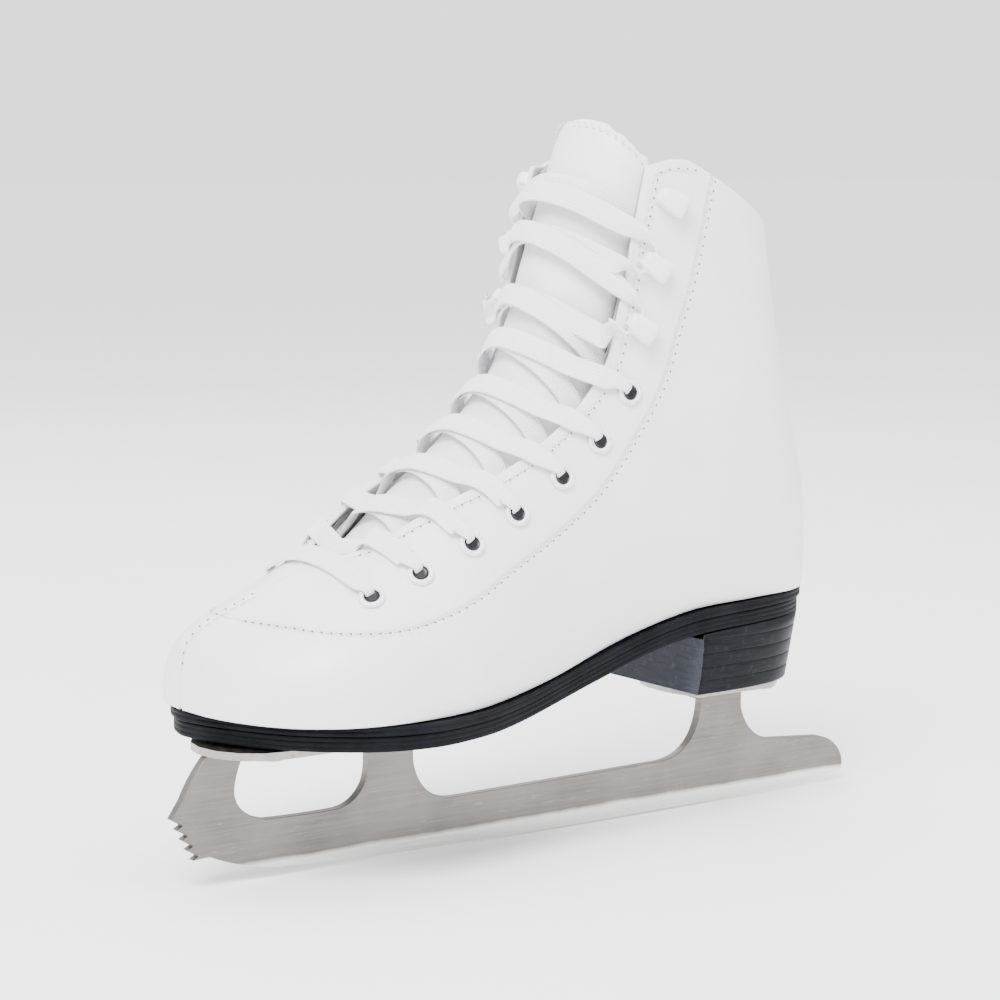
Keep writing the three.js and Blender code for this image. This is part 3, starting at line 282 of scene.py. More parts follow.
def edge_at(u, side):
    """Distance round the surface from the front line to the edge of a facing."""
    ring = Ring.of(u, side)
    for i in range(Ring.STEPS, 0, -1):
        x, y, _ = ring.points[i]
        if abs(y) >= throat_half(x, side):
            x1, y1, _ = ring.points[min(i + 1, Ring.STEPS)]
            now, last = abs(y) - throat_half(x, side), abs(y1) - throat_half(x1, side)
            f = now / (now - last) if now > last else 0
            j = min(i + 1, Ring.STEPS)
            return ring.length - (ring.arc[i] + (ring.arc[j] - ring.arc[i]) * f)
    return 0.0


def crossing(ring, test):
    """Distance from the back line where a value along the ring turns positive."""
    values = np.array([test(p) for p in ring.points])
    if values[0] > 0:
        return 0.0
    i = int(np.argmax(values > 0))
    if values[i] <= 0:
        return ring.length
    f = values[i - 1] / (values[i - 1] - values[i])
    return ring.arc[i - 1] + (ring.arc[i] - ring.arc[i - 1]) * f


def row_span(u, side, raise_low=GAP, drop=0.0, inset=0.0):
    """Lowest and highest distance from the back line that the upper covers on one ring."""
    ring = Ring.of(u, side)
    low = crossing(ring, lambda p: p[2] - sole_top(p[0]) - raise_low)
    high = crossing(ring, lambda p: p[2] - cuff_top(p[0]) + drop)
    seam = ring.length - GAP / 2
    if ring.points[-1][0] > THROAT_START:
        seam = ring.length - edge_at(u, side) - inset
    return max(low, GAP / 2), min(high, seam)


def side_place(x, z, side):
    """Ring and share of the place that stands at (x, z) in side view."""
    def off(u):
        fx, fz, bx, bz = spline(RINGS, u)[:4]
        return (fx - bx) * (z - bz) - (fz - bz) * (x - bx)
    steps = np.linspace(1, LAST_RING, 240)
    values = [off(u) for u in steps]
    for i in range(len(steps) - 1):
        if values[i] * values[i + 1] <= 0:
            low, high = steps[i], steps[i + 1]
            u = low + (high - low) * values[i] / (values[i] - values[i + 1] or 1)
            fx, fz, bx, bz = spline(RINGS, u)[:4]
            along = ((x - bx) * (fx - bx) + (z - bz) * (fz - bz)) / ((fx - bx) ** 2 + (fz - bz) ** 2)
            if 0 <= along <= 1.02:
                ring = Ring.of(u, side)
                distance = np.interp(min(along, 1), ring.along, ring.arc)
                return u, distance / ring.length
    raise ValueError(f"no ring passes ({x}, {z})")


# ------------------------------------------------------------------ mesh helpers

def new_object(name, data):
    piece = bpy.data.objects.new(name, data)
    bpy.context.scene.collection.objects.link(piece)
    return piece


def store_values(mesh, name, numbers):
    """Keeps one number for each point under a name that materials read."""
    store = mesh.attributes.new(name, "FLOAT", "POINT").data
    store.foreach_set("value", np.asarray(numbers, float))


def shade_smooth(mesh):
    mesh.polygons.foreach_set("use_smooth", [True] * len(mesh.polygons))


def mesh_of(made, name):
    """Turns a finished bmesh into a mesh."""
    mesh = bpy.data.meshes.new(name)
    made.to_mesh(mesh)
    made.free()
    return mesh


def mesh_piece(name, points, faces, values=None):
    """An object from drawn points, with named float values on its points."""
    mesh = bpy.data.meshes.new(name)
    mesh.from_pydata([world(p) for p in points], [], faces)
    for key, numbers in (values or {}).items():
        store_values(mesh, key, numbers)
    shade_smooth(mesh)
    mesh.update()
    return new_object(name, mesh)


def loft_faces(rows, columns):
    """Quads between closed sections, with the first and last section capped."""
    faces = []
    for i in range(rows - 1):
        for j in range(columns):
            k = (j + 1) % columns
            n = i + 1
            faces.append((i * columns + j, i * columns + k, n * columns + k, n * columns + j))
    faces.append(tuple(reversed(range(columns))))
    faces.append(tuple(range((rows - 1) * columns, rows * columns)))
    return faces


def outward(piece, merge=None):
    """Merges doubles where asked, and turns every face to the outside."""
    made = bmesh.new()
    made.from_mesh(piece.data)
    if merge:
        bmesh.ops.remove_doubles(made, verts=made.verts, dist=merge)
        bmesh.ops.dissolve_degenerate(made, edges=made.edges, dist=merge * 0.2)
    bmesh.ops.recalc_face_normals(made, faces=made.faces)
    made.to_mesh(piece.data)
    made.free()
    return piece


def keep_result(piece):
    """Replaces an object's mesh by its evaluated mesh and removes its modifiers."""
    graph = bpy.context.evaluated_depsgraph_get()
    made = bpy.data.meshes.new_from_object(piece.evaluated_get(graph))
    piece.modifiers.clear()
    old = piece.data
    piece.data = made
    bpy.data.meshes.remove(old)
    return piece


def finish_piece(piece, body, material=None, replaces=()):
    """Gives a piece its material and body, and hides the nodes it stands for."""
    if material:
        piece.data.materials.clear()
        piece.data.materials.append(material)
    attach(piece, body)
    if replaces:
        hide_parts(*replaces)
    return piece


# ------------------------------------------------------------------ materials

class Value:
    """A node socket that takes part in Python arithmetic."""

    def __init__(self, finish, socket):
        self.finish = finish
        self.socket = socket

    def _math(self, operation, a, b=None):
        inputs = {0: a}
        if b is not None:
            inputs[1] = b
        return self.finish.node("ShaderNodeMath", {"operation": operation}, inputs)

    def __add__(self, other):
        return self._math("ADD", self, other)

    def __sub__(self, other):
        return self._math("SUBTRACT", self, other)

    def __mul__(self, other):
        return self._math("MULTIPLY", self, other)

    def __truediv__(self, other):
        return self._math("DIVIDE", self, other)

    def sine(self):
        return self._math("SINE", self)

    def size(self):
        return self._math("ABSOLUTE", self)


class Finish:
    """A material with one shader, whose nodes come from one method."""

    def __init__(self, name, **constants):
        self.material = bpy.data.materials.new(name)
        self.material.use_nodes = True
        self.tree = self.material.node_tree
        self.shader = self.tree.nodes["Principled BSDF"]
        for key, value in constants.items():
            self.shader.inputs[key.replace("_", " ")].default_value = value
        self.here = self.node("ShaderNodeTexCoord", output="Object")

    def node(self, kind, settings=None, inputs=None, output=0):
        made = self.tree.nodes.new(kind)
        for key, value in (settings or {}).items():
            setattr(made, key, value)
        for key, value in (inputs or {}).items():
            if isinstance(value, Value):
                self.tree.links.new(value.socket, made.inputs[key])
            else:
                made.inputs[key].default_value = value
        return Value(self, made.outputs[output])

    def noise(self, scale, detail=3.0, rough=0.55, where=None):
        inputs = {"Vector": where or self.here, "Scale": scale, "Detail": detail, "Roughness": rough}
        return self.node("ShaderNodeTexNoise", {}, inputs)

    def cells(self, scale):
        inputs = {"Vector": self.here, "Scale": scale}
        return self.node("ShaderNodeTexVoronoi", {"feature": "F1"}, inputs, "Distance")

    def stretched(self, x, y, z):
        return self.node("ShaderNodeMapping", {}, {"Vector": self.here, "Scale": (x, y, z)})

    def blend(self, factor, first, second):
        first, second = ((*c, 1) if isinstance(c, tuple) else c for c in (first, second))
        inputs = {"Factor": factor, 6: first, 7: second}
        return self.node("ShaderNodeMix", {"data_type": "RGBA"}, inputs, 2)

    def spread(self, value, low, high, to_low=0.0, to_high=1.0):
        inputs = {"Value": value, 1: low, 2: high, 3: to_low, 4: to_high}
        return self.node("ShaderNodeMapRange", {}, inputs)

    def number(self, name):
        return self.node("ShaderNodeAttribute", {"attribute_name": name}, {}, "Fac")

    def axis(self, name):
        return self.node("ShaderNodeSeparateXYZ", {}, {"Vector": self.here}, name)

    def set(self, **links):
        for key, value in links.items():
            self.tree.links.new(value.socket, self.shader.inputs[key.replace("_", " ")])
        return self

    def bump(self, height, distance, strength=1.0):
        inputs = {"Height": height, "Distance": distance, "Strength": strength}
        return self.set(Normal=self.node("ShaderNodeBump", {}, inputs))


def white_leather():
    """Smooth coated leather: fine grain, faint creases, and a dip along each stitched line, with painted
    shade darkening the leather along it.
    """
    m = Finish("white_leather", Coat_Weight=0.12, Coat_Roughness=0.3, Specular_IOR_Level=0.45)
    cloud = m.noise(26, 4)
    grain = m.cells(1500)
    pores = m.noise(2600, 2)
    crease = m.noise(95, 5, 0.6)
    line = m.spread(m.number("line").size(), 0.0, 1.5, 1.0, 0.0)
    edge = m.spread(m.number("edge").size(), 0.0, 1.0, 1.0, 0.0)
    base = m.blend(m.spread(cloud, 0.3, 0.7), (0.78, 0.782, 0.795), (0.85, 0.85, 0.858))
    worn = m.blend(edge * m.spread(m.noise(160, 3), 0.45, 0.7), base, (0.74, 0.735, 0.72))
    # Painted shade: the leather turns grey within 1.5 mm of each stitched line, standing in for the shade
    # in its groove.
    shade = m.blend(line * 0.35, worn, (0.66, 0.665, 0.69))
    m.set(Base_Color=shade, Roughness=m.spread(cloud + pores * 0.3, 0.4, 0.9, 0.36, 0.48))
    height = grain * 0.05 + pores * 0.05 + crease * 0.22 - line * line * 0.75
    return m.bump(height, 0.0006, 0.8).material


def grey_lining():
    """Brushed grey lining cloth with a short nap and worn lighter patches."""
    m = Finish("grey_lining", Sheen_Weight=0.35, Sheen_Roughness=0.6, Specular_IOR_Level=0.2)
    nap = m.noise(1300, 4, 0.7)
    soft = m.noise(55, 4)
    weave = (m.axis("Z") * 5200.0).sine() * (m.axis("X") * 5200.0 + m.axis("Y") * 5200.0).sine()
    base = m.blend(m.spread(soft, 0.3, 0.7), (0.2, 0.195, 0.195), (0.29, 0.283, 0.283))
    fibre = m.blend(m.spread(nap, 0.35, 0.68), base, (0.42, 0.41, 0.41))
    m.set(Base_Color=fibre, Roughness=m.spread(nap, 0.3, 0.7, 0.82, 0.98))
    return m.bump(nap * 0.6 + weave * 0.12 + soft * 0.3, 0.0005, 0.7).material


def thread(name, colour, dark):
    """Twisted sewing thread; also the dark marks that are the painted shadow of the needle holes."""
    m = Finish(name, Sheen_Weight=0.2, Specular_IOR_Level=0.3)
    fibre = m.noise(2800, 3, 0.6)
    twist = ((m.axis("X") + m.axis("Z") + m.axis("Y")) * 9000.0).sine()
    m.set(Base_Color=m.blend(m.spread(fibre, 0.3, 0.7), dark, colour))
    m.set(Roughness=m.spread(fibre, 0.3, 0.7, 0.6, 0.8))
    return m.bump(twist * 0.5 + fibre * 0.3, 0.0002, 0.7).material


def black_rubber():
    """Moulded black rubber: fine pitting, and dusty in its grooves."""
    m = Finish("black_rubber", Specular_IOR_Level=0.06)
    pit = m.noise(1900, 4)
    dust = m.noise(70, 5, 0.65)
    groove = m.spread(m.number("groove"), 0.0, 1.0, 0.0, 1.0)
    base = m.blend(m.spread(dust, 0.4, 0.8), (0.004, 0.0042, 0.006), (0.011, 0.0115, 0.015))
    rubbed = m.blend(groove * 0.5, base, (0.02, 0.021, 0.026))
    m.set(Base_Color=rubbed, Roughness=m.spread(dust + pit * 0.3, 0.3, 0.95, 0.42, 0.62))
    return m.bump(pit, 0.0003, 0.35).material


def heel_finish(name, low, high, rough):
    """Heel stack: faintly brushed along its layers, with small scuffs."""
    m = Finish(name, Specular_IOR_Level=0.05)
    streak = m.noise(90, 4, 0.6, m.stretched(1, 1, 14))
    scuff = m.spread(m.noise(320, 5, 0.7), 0.56, 0.7)
    base = m.blend(m.spread(streak, 0.3, 0.7), low, high)
    m.set(Base_Color=m.blend(scuff * 0.35, base, tuple(min(c * 2.2 + 0.01, 1) for c in high)))
    m.set(Roughness=m.spread(streak + scuff * 0.2, 0.3, 0.9, rough, rough + 0.18))
    return m.bump(streak * 0.4 + scuff * 0.3, 0.0002, 0.5).material


def blade_steel():
    """Ground steel: lengthwise brushing, small scratches, and a bright ground running edge."""
    m = Finish("blade_steel", Metallic=1.0, Anisotropic=0.45)
    height = m.axis("Z") / MM + HEEL_SEAT[2]
    brush = m.noise(900, 4, 0.6, m.stretched(0.035, 1, 1.6))
    cloud = m.noise(40, 4)
    scratch = m.spread(m.noise(420, 5, 0.75, m.stretched(0.3, 1, 2.4)), 0.6, 0.68)
    ground = m.spread(height - cloud * 2.0, 3.6, 5.2, 1.0, 0.0)
    base = m.blend(m.spread(cloud, 0.3, 0.7), (0.12, 0.112, 0.105), (0.19, 0.18, 0.17))
    lined = m.blend(m.spread(brush, 0.35, 0.7) * 0.4, base, (0.27, 0.262, 0.25))
    marked = m.blend(scratch * 0.35, lined, (0.42, 0.41, 0.4))
    m.set(Base_Color=m.blend(ground * 0.8, marked, (0.83, 0.83, 0.82)))
    m.set(Roughness=m.spread(brush + cloud * 0.4, 0.4, 1.1, 0.3, 0.5) - ground * 0.13)
    return m.bump(brush * 0.5 + scratch * 0.2, 0.00012, 0.5).material


def pressed_steel(name, low, high):
    """Plain steel for plates and rivets: faint orange peel and fine marks."""
    m = Finish(name, Metallic=1.0)
    peel = m.noise(500, 3)
    mark = m.spread(m.noise(900, 5, 0.7), 0.55, 0.72)
    m.set(Base_Color=m.blend(m.spread(peel, 0.3, 0.7), low, high))
    m.set(Roughness=m.spread(peel + mark * 0.4, 0.3, 1.0, 0.27, 0.48))
    return m.bump(peel * 0.4 + mark * 0.2, 0.00012, 0.5).material


def white_enamel():
    """White enamel on metal: glossy, faintly uneven, worn to metal on its highest edges."""
    m = Finish("white_enamel", Coat_Roughness=0.12, Specular_IOR_Level=0.3)
    cloud = m.noise(380, 3)
    chip = m.spread(m.noise(1300, 4, 0.7) + m.number("rim") * 0.16, 0.72, 0.78)
    base = m.blend(m.spread(cloud, 0.3, 0.7), (0.83, 0.835, 0.85), (0.9, 0.9, 0.91))
    # Painted shade: the enamel inside the bore is near black and loses its coat, standing in for the dark
    # of the boot behind the hole.
    bore = m.number("bore")
    bore_painted_shade = m.blend(bore, base, (0.006, 0.006, 0.008))
    m.set(Coat_Weight=bore * -0.5 + 0.5)
    m.set(Base_Color=m.blend(chip, bore_painted_shade, (0.5, 0.48, 0.45)), Metallic=chip * 0.8)
    m.set(Roughness=m.spread(cloud, 0.3, 0.7, 0.22, 0.34) + chip * 0.12)
    return m.bump(cloud * 0.3 - chip * 0.5, 0.0001, 0.5).material


def lace_braid():
    """Flat white braid: a herringbone of strands, rolled edges and loose fuzz, with painted shade between
    the strands.
    """
    m = Finish("lace_braid", Sheen_Weight=0.3, Sheen_Roughness=0.5, Specular_IOR_Level=0.25)
    run, across = m.number("run"), m.number("across")
    slant = across.size() * 2.4
    strand = ((run * 1.0 + slant) * 6.4).sine()
    ridge = (across * 22.0).sine()
    fuzz = m.noise(3000, 3, 0.7)
    rib = strand * 0.6 + ridge * 0.4
    # Painted shade: the braid's white turns grey in the troughs between strands and ridges.
    base = m.blend(m.spread(rib, -0.8, 0.8), (0.74, 0.745, 0.765), (0.93, 0.93, 0.935))
    m.set(Base_Color=m.blend(m.spread(fuzz, 0.5, 0.8) * 0.4, base, (0.95, 0.95, 0.95)))
    m.set(Roughness=m.spread(fuzz, 0.3, 0.7, 0.72, 0.92))
    return m.bump(rib * 0.7 + fuzz * 0.3, 0.0003, 0.5).material


def pressed_board():
    """Fibre board of the stiffeners and the insole."""
    m = Finish("pressed_board", Specular_IOR_Level=0.2)
    fibre = m.noise(700, 5, 0.7, m.stretched(1, 0.35, 0.35))
    fleck = m.spread(m.cells(900), 0.05, 0.2, 1.0, 0.0)
    base = m.blend(m.spread(fibre, 0.3, 0.7), (0.36, 0.27, 0.17), (0.52, 0.42, 0.29))
    m.set(Base_Color=m.blend(fleck * 0.5, base, (0.25, 0.18, 0.11)))
    m.set(Roughness=m.spread(fibre, 0.3, 0.7, 0.8, 0.95))
    return m.bump(fibre, 0.0003, 0.6).material


def pad_foam():
    """Open-cell foam of the hidden padding."""
    m = Finish("pad_foam", Specular_IOR_Level=0.15)
    cell = m.cells(1600)
    soft = m.noise(200, 3)
    m.set(Base_Color=m.blend(m.spread(cell, 0.1, 0.7), (0.5, 0.47, 0.4), (0.78, 0.74, 0.65)))
    m.set(Roughness=m.spread(soft, 0.3, 0.7, 0.88, 0.97))
    return m.bump(cell, 0.0005, 0.7).material


def pale_floor():
    m = Finish(
        "pale_floor", Specular_IOR_Level=0.1, Emission_Color=(1.0, 1.0, 1.0, 1.0), Emission_Strength=0.2)
    speck = m.noise(14, 3)
    m.set(Base_Color=m.blend(m.spread(speck, 0.2, 0.8), (0.9, 0.9, 0.903), (0.93, 0.93, 0.933)))
    m.set(Roughness=m.spread(speck, 0.2, 0.8, 0.6, 0.7))
    return m.material


MAKERS = {
    "leather": white_leather,
    "lining": grey_lining,
    "thread": lambda: thread("white_thread", (0.9, 0.9, 0.9), (0.7, 0.7, 0.72)),
    # Dark grey marks between the stitches: painted shadow standing in for the shade inside the needle
    # holes.
    "needle_hole_shadow": lambda: thread("stitch_shadow", (0.2, 0.2, 0.215), (0.09, 0.09, 0.1)),
    "rubber": black_rubber,
    "heel": lambda: heel_finish("black_heel", (0.004, 0.0042, 0.006), (0.012, 0.0125, 0.016), 0.34),
    # The heel's front: the same black plastic, painted lighter slate grey for the light its smooth
    # concave face reflects.
    "breast_painted_light": lambda: heel_finish("heel_breast_painted_light", (0.03, 0.033, 0.043), (0.05, 0.054, 0.066), 0.34),
    "blade": blade_steel,
    "plate": lambda: pressed_steel("plate_steel", (0.26, 0.25, 0.24), (0.36, 0.35, 0.34)),
    "rivet": lambda: pressed_steel("rivet_steel", (0.4, 0.39, 0.38), (0.52, 0.51, 0.5)),
    "enamel": white_enamel,
    "braid": lace_braid,
    "board": pressed_board,
    "foam": pad_foam,
    "floor": pale_floor,
}
MADE = {}


def finish_of(name):
    if name not in MADE:
        MADE[name] = MAKERS[name]()
    return MADE[name]


# ------------------------------------------------------------------ repeats by geometry nodes

class Tree:
    """A geometry node tree with named inputs, made by one method."""

    def __init__(self, name):
        self.tree = bpy.data.node_groups.new(name, "GeometryNodeTree")
        self.tree.interface.new_socket("Geometry", in_out="OUTPUT", socket_type="NodeSocketGeometry")
        self.inputs = self.tree.nodes.new("NodeGroupInput")
        self.sockets = {}
        self.input("Geometry", "NodeSocketGeometry")

    def input(self, name, kind):
        made = self.tree.interface.new_socket(name, in_out="INPUT", socket_type=kind)
        self.sockets[name] = made.identifier
        return self.inputs.outputs[name]

    def node(self, kind, settings=None, inputs=None, output=0):
        made = self.tree.nodes.new(kind)
        for key, value in (settings or {}).items():
            setattr(made, key, value)
        for key, value in (inputs or {}).items():
            if isinstance(value, bpy.types.NodeSocket):
                self.tree.links.new(value, made.inputs[key])
            else:
                made.inputs[key].default_value = value
        return made.outputs[output]

    def vector(self, name):
        settings = {"data_type": "FLOAT_VECTOR"}
        return self.node("GeometryNodeInputNamedAttribute", settings, {"Name": name}, "Attribute")

    def finish(self, instances):
        plain = self.node("GeometryNodeRealizeInstances", {}, {"Geometry": instances})
        smooth = self.node("GeometryNodeSetShadeSmooth", {}, {"Geometry": plain})
        material = self.input("Material", "NodeSocketMaterial")
        done = self.node("GeometryNodeSetMaterial", {}, {"Geometry": smooth, "Material": material})
        out = self.tree.nodes.new("NodeGroupOutput")
        self.tree.links.new(done, out.inputs["Geometry"])
        return self

    def apply(self, piece, **values):
        modifier = piece.modifiers.new(self.tree.name, "NODES")
        modifier.node_group = self.tree
        for name, value in values.items():
            modifier[self.sockets[name]] = value
        return keep_result(piece)


def stitch_row_tree():
    """Rounded stitches laid end to end along paths that carry their outward direction."""
    t = Tree("stitch_row")
    pitch = t.input("Pitch", "NodeSocketFloat")
    size = t.input("Size", "NodeSocketVector")
    paths = t.node("GeometryNodeMeshToCurve", {}, {"Mesh": t.inputs.outputs["Geometry"]})
    spaced = t.node("GeometryNodeResampleCurve", {"mode": "LENGTH"}, {"Curve": paths, "Length": pitch})
    ball = t.node("GeometryNodeMeshUVSphere", {}, {"Segments": 8, "Rings": 5, "Radius": 1.0})
    stitch = t.node("GeometryNodeTransform", {}, {"Geometry": ball, "Scale": size})
    along = t.node("GeometryNodeInputTangent")
    axes = {"primary_axis": "Z", "secondary_axis": "X"}
    turn = t.node("FunctionNodeAxesToRotation", axes, {0: t.vector("out"), 1: along})
    row = t.node(
        "GeometryNodeInstanceOnPoints", {}, {"Points": spaced, "Instance": stitch, "Rotation": turn}
    )
    return t.finish(row)


def fitting_tree():
    """One fitting on each point, standing along `out` and turned towards `towards`."""
    t = Tree("fittings")
    fitting = t.input("Fitting", "NodeSocketObject")
    scale = t.input("Scale", "NodeSocketFloat")
    shape = t.node("GeometryNodeObjectInfo", {}, {"Object": fitting}, "Geometry")
    axes = {"primary_axis": "Z", "secondary_axis": "X"}
    turn = t.node("FunctionNodeAxesToRotation", axes, {0: t.vector("out"), 1: t.vector("towards")})
    placed = {
        "Points": t.inputs.outputs["Geometry"], "Instance": shape, "Rotation": turn, "Scale": scale,
    }
    return t.finish(t.node("GeometryNodeInstanceOnPoints", {}, placed))


def vectors_on(mesh, name, vectors):
    store = mesh.attributes.new(name, "FLOAT_VECTOR", "POINT").data
    store.foreach_set("vector", np.asarray(vectors, float).ravel())


def stitched(name, paths, pitch, size, material):
    """Stitches along paths of (points, normals); sizes in millimetres."""
    points, edges, normals = [], [], []
    for places, outs in paths:
        start = len(points)
        points += [world(p) for p in places]
        normals += list(outs)
        edges += [(start + i, start + i + 1) for i in range(len(places) - 1)]
    mesh = bpy.data.meshes.new(name)
    mesh.from_pydata(points, edges, [])
    vectors_on(mesh, "out", normals)
    half = tuple(s * MM / 2 for s in size)
    return stitch_row_tree().apply(new_object(name, mesh), Pitch=pitch * MM, Size=half, Material=material)


def fitted(name, seats, template, material):
    """A template piece on each seat; a seat is a place, its outward and its sideways direction."""
    mesh = bpy.data.meshes.new(name)
    mesh.from_pydata([world(s[0]) for s in seats], [], [])
    vectors_on(mesh, "out", [s[1] for s in seats])
    vectors_on(mesh, "towards", [s[2] for s in seats])
    piece = fitting_tree().apply(
        new_object(name, mesh), Fitting=template, Scale=1.0, Material=material
    )
    spare = template.data
    bpy.data.objects.remove(template)
    bpy.data.meshes.remove(spare)
    return outward(piece)


def turned_template(name, outline, sides, rim=None):
    """A turned piece round +Z from a closed (radius, height) outline in millimetres."""
    made = bmesh.new()
    rows = []
    for i in range(sides):
        a = 2 * math.pi * i / sides
        rows.append([
            made.verts.new((r * MM * math.cos(a), r * MM * math.sin(a), z * MM)) for r, z in outline
        ])
    for i in range(sides):
        for j in range(len(outline)):
            k = (j + 1) % len(outline)
            corners = [rows[i][j], rows[(i + 1) % sides][j], rows[(i + 1) % sides][k], rows[i][k]]
            made.faces.new(corners)
    bmesh.ops.remove_doubles(made, verts=made.verts, dist=1e-6)
    bmesh.ops.recalc_face_normals(made, faces=made.faces)
    mesh = mesh_of(made, name)
    heights = np.array([v.co.z / MM for v in mesh.vertices])
    radii = np.array([math.hypot(v.co.x, v.co.y) / MM for v in mesh.vertices])
    values = np.zeros(len(heights)) if rim is None else ((heights > rim[1]) & (radii > rim[0])) * 1.0
    # Points inside the bore, which the enamel finish darkens as painted shade.
    deep = (radii < EYELET_BORE - 0.01) & (heights > 0) if rim else radii * 0
    store_values(mesh, "rim", values)
    store_values(mesh, "bore", deep)
    shade_smooth(mesh)
    return new_object(name, mesh)


# ------------------------------------------------------------------ the upper

def even_columns(low, high, count):
    """Distances across a strip, close together at its rounded edges."""
    edge = np.array([0.0, 0.12, 0.35, 0.75, 1.3])
    span = high - low
    edge = edge * min(1.0, span / 4)
    return np.concatenate([
        low + edge, np.linspace(low + edge[-1], high - edge[-1], count)[1:-1], high - edge[::-1]
    ])


def edge_lift(distance, radius):
    """Drop of a rounded edge at a distance in from it."""
    inside = np.clip(distance / radius, 0, 1)
    return -radius * (1 - np.sqrt(1 - (1 - inside) ** 2))


def shell_rows(top, fine=1.0):
    """Ring numbers for the rows of the upper."""
    spans = [(0.03, 1, 9), (1, 6.6, 48), (6.6, 8.2, 34), (8.2, 17.6, 72)]
    rows = []
    for low, high, count in spans:
        rows += list(np.linspace(low, high, max(int(count * fine), 3), endpoint=False))
    return rows + list(closing_rows(17.6, top, 60))


def closing_rows(low, high, count):
    """Ring numbers that crowd together towards the cuff, where the rings run along it."""
    rest = 1 - np.linspace(0, 0.985, count)
    return high - (high - low) * rest ** 2


def top_ring(drop=0.0):
    """Ring whose back line just reaches the cuff."""
    low, high = 17.0, LAST_RING
    for _ in range(30):
        u = (low + high) / 2
        x, _, z = Ring.of(u, -1).points[0]
        if z < cuff_top(x) - drop:
            low = u
        else:
            high = u
    return low - 0.01


def line_distance(x, z):
    """Signed distance in side view from the stitched line that edges the facings."""
    best, sign = 99.0, 1.0
    for (x0, z0), (x1, z1) in zip(FINE_STITCH[:-1], FINE_STITCH[1:]):
        dx, dz = x1 - x0, z1 - z0
        f = min(max(((x - x0) * dx + (z - z0) * dz) / (dx * dx + dz * dz), 0), 1)
        away = math.hypot(x - x0 - dx * f, z - z0 - dz * f)
        if away < best:
            best = away
            sign = 1.0 if dx * (z - z0) - dz * (x - x0) > 0 else -1.0
    return best * sign


FINE_STITCH = smooth_path(VAMP_STITCH, 4)


def soft_wave(point):
    """A slow, slight unevenness of the padded upper."""
    x, y, z = point
    place = Vector((x * 0.03, y * 0.03 + 7.0, z * 0.03))
    ankle = math.exp(-((z - 150) / 45) ** 2) * 0.8 + 0.35
    return noise.noise(place) * 0.55 * ankle


def upper_shell(name, side, outer, inner, columns, drop=0.0, inset=0.0, fine=1.0, marked=False):
    """One side of a layer of the upper: a closed shell between two depths."""
    points, edge_values, line_values = [], [], []
    kept = 0
    for u in shell_rows(top_ring(drop), fine):
        low, high = row_span(u, side, GAP, drop, inset)
        if high - low < 1.0:
            continue
        kept += 1
        ring = Ring.of(u, side)
        cols = even_columns(low, high, columns)
        from_edge = np.minimum(cols - low, high - cols)
        round_off = min((outer - inner) * 0.45, 0.7)
        lift = outer + edge_lift(from_edge, round_off)
        out, _, _ = surface(u, side, cols / ring.length, lift)
        if marked:
            _, normal, _ = surface(u, side, cols / ring.length)
            sway = np.array([soft_wave(p) for p in out]) * np.clip((from_edge - 24) / 24, 0, 1)
            out = out + normal * sway[:, None]
        back = cols[::-1]
        behind = inner - edge_lift(np.minimum(back - low, high - back), round_off)
        rear, _, _ = surface(u, side, back / ring.length, behind)
        points += list(out) + list(rear)
        edge_values += list(from_edge) + [PLAIN] * len(back)
        # Distance from the stitched line, which the leather finish reads for its dip and its painted
        # shade.
        if marked:
            line_values += [line_distance(p[0], p[2]) for p in out]
        else:
            line_values += [PLAIN] * len(out)
        line_values += [PLAIN] * len(back)
    width = len(points) // kept
    faces = loft_faces(kept, width)
    values = {"edge": edge_values, "line": line_values}
    return outward(mesh_piece(name, points, faces, values=values))


def path_on_surface(places, lift):
    """Points and normals of a path through (ring, share, side) places."""
    points, normals = [], []
    for u, share, side in places:
        point, normal, _ = surface(u, side, share, lift)
        points.append(point[0])
        normals.append(normal[0])
    return points, normals


def facing_path(side, inset, first=7.5, lift=0.1):
    """A path along the facing's edge and the cuff, a set distance in from it."""
    places = []
    for u in closing_rows(first, top_ring(inset) - 0.12, 240):
        low, high = row_span(u, side, GAP, inset, inset)
        if high > low + 9:
            places.append((u, high / Ring.of(u, side).length, side))
    return path_on_surface(places, lift)


def binding(name, side):
    """A narrow rolled band over the lining's edge, along the facing and the cuff."""
    path, outs = facing_path(side, 1.35, lift=-LINING_TOP - 0.72)
    path, outs = np.array(path), np.array(outs)
    travel = np.gradient(path, axis=0)
    travel /= np.linalg.norm(travel, axis=1, keepdims=True)
    across = np.cross(travel, outs)
    across /= np.linalg.norm(across, axis=1, keepdims=True)
    count = 10
    points = []
    for place, out, wide in zip(path, outs, across):
        for j in range(count):
            a = 2 * math.pi * j / count
            points.append(place + wide * 1.1 * math.cos(a) + out * 0.95 * math.sin(a))
    values = {"edge": [PLAIN] * len(points), "line": [PLAIN] * len(points)}
    return outward(mesh_piece(name, points, loft_faces(len(path), count), values=values))


def vamp_path(side, lift=0.1):
    """The stitched line from the toe up to the cuff, followed on one side."""
    places = []
    for x, z in smooth_path(VAMP_STITCH, 8):
        u, share = side_place(x, z, side)
        places.append((u, share, side))
    return path_on_surface(places, lift)


def toe_seam_path(lift=0.1):
    """The short row beside the middle seam over the toe."""
    places = []
    for u in np.linspace(0.9, 5.4, 60):
        ring = Ring.of(u, -1)
        places.append((u, 1 - 1.7 / ring.length, -1))
    return path_on_surface(places, lift)


def back_strip(u, across, lift):
    """Place on the back of the boot, by its distance round from the back line."""
    side = -1 if across < 0 else 1
    ring = Ring.of(u, side)
    point, normal, _ = surface(u, side, abs(across) / ring.length, lift)
    return point[0], normal[0]


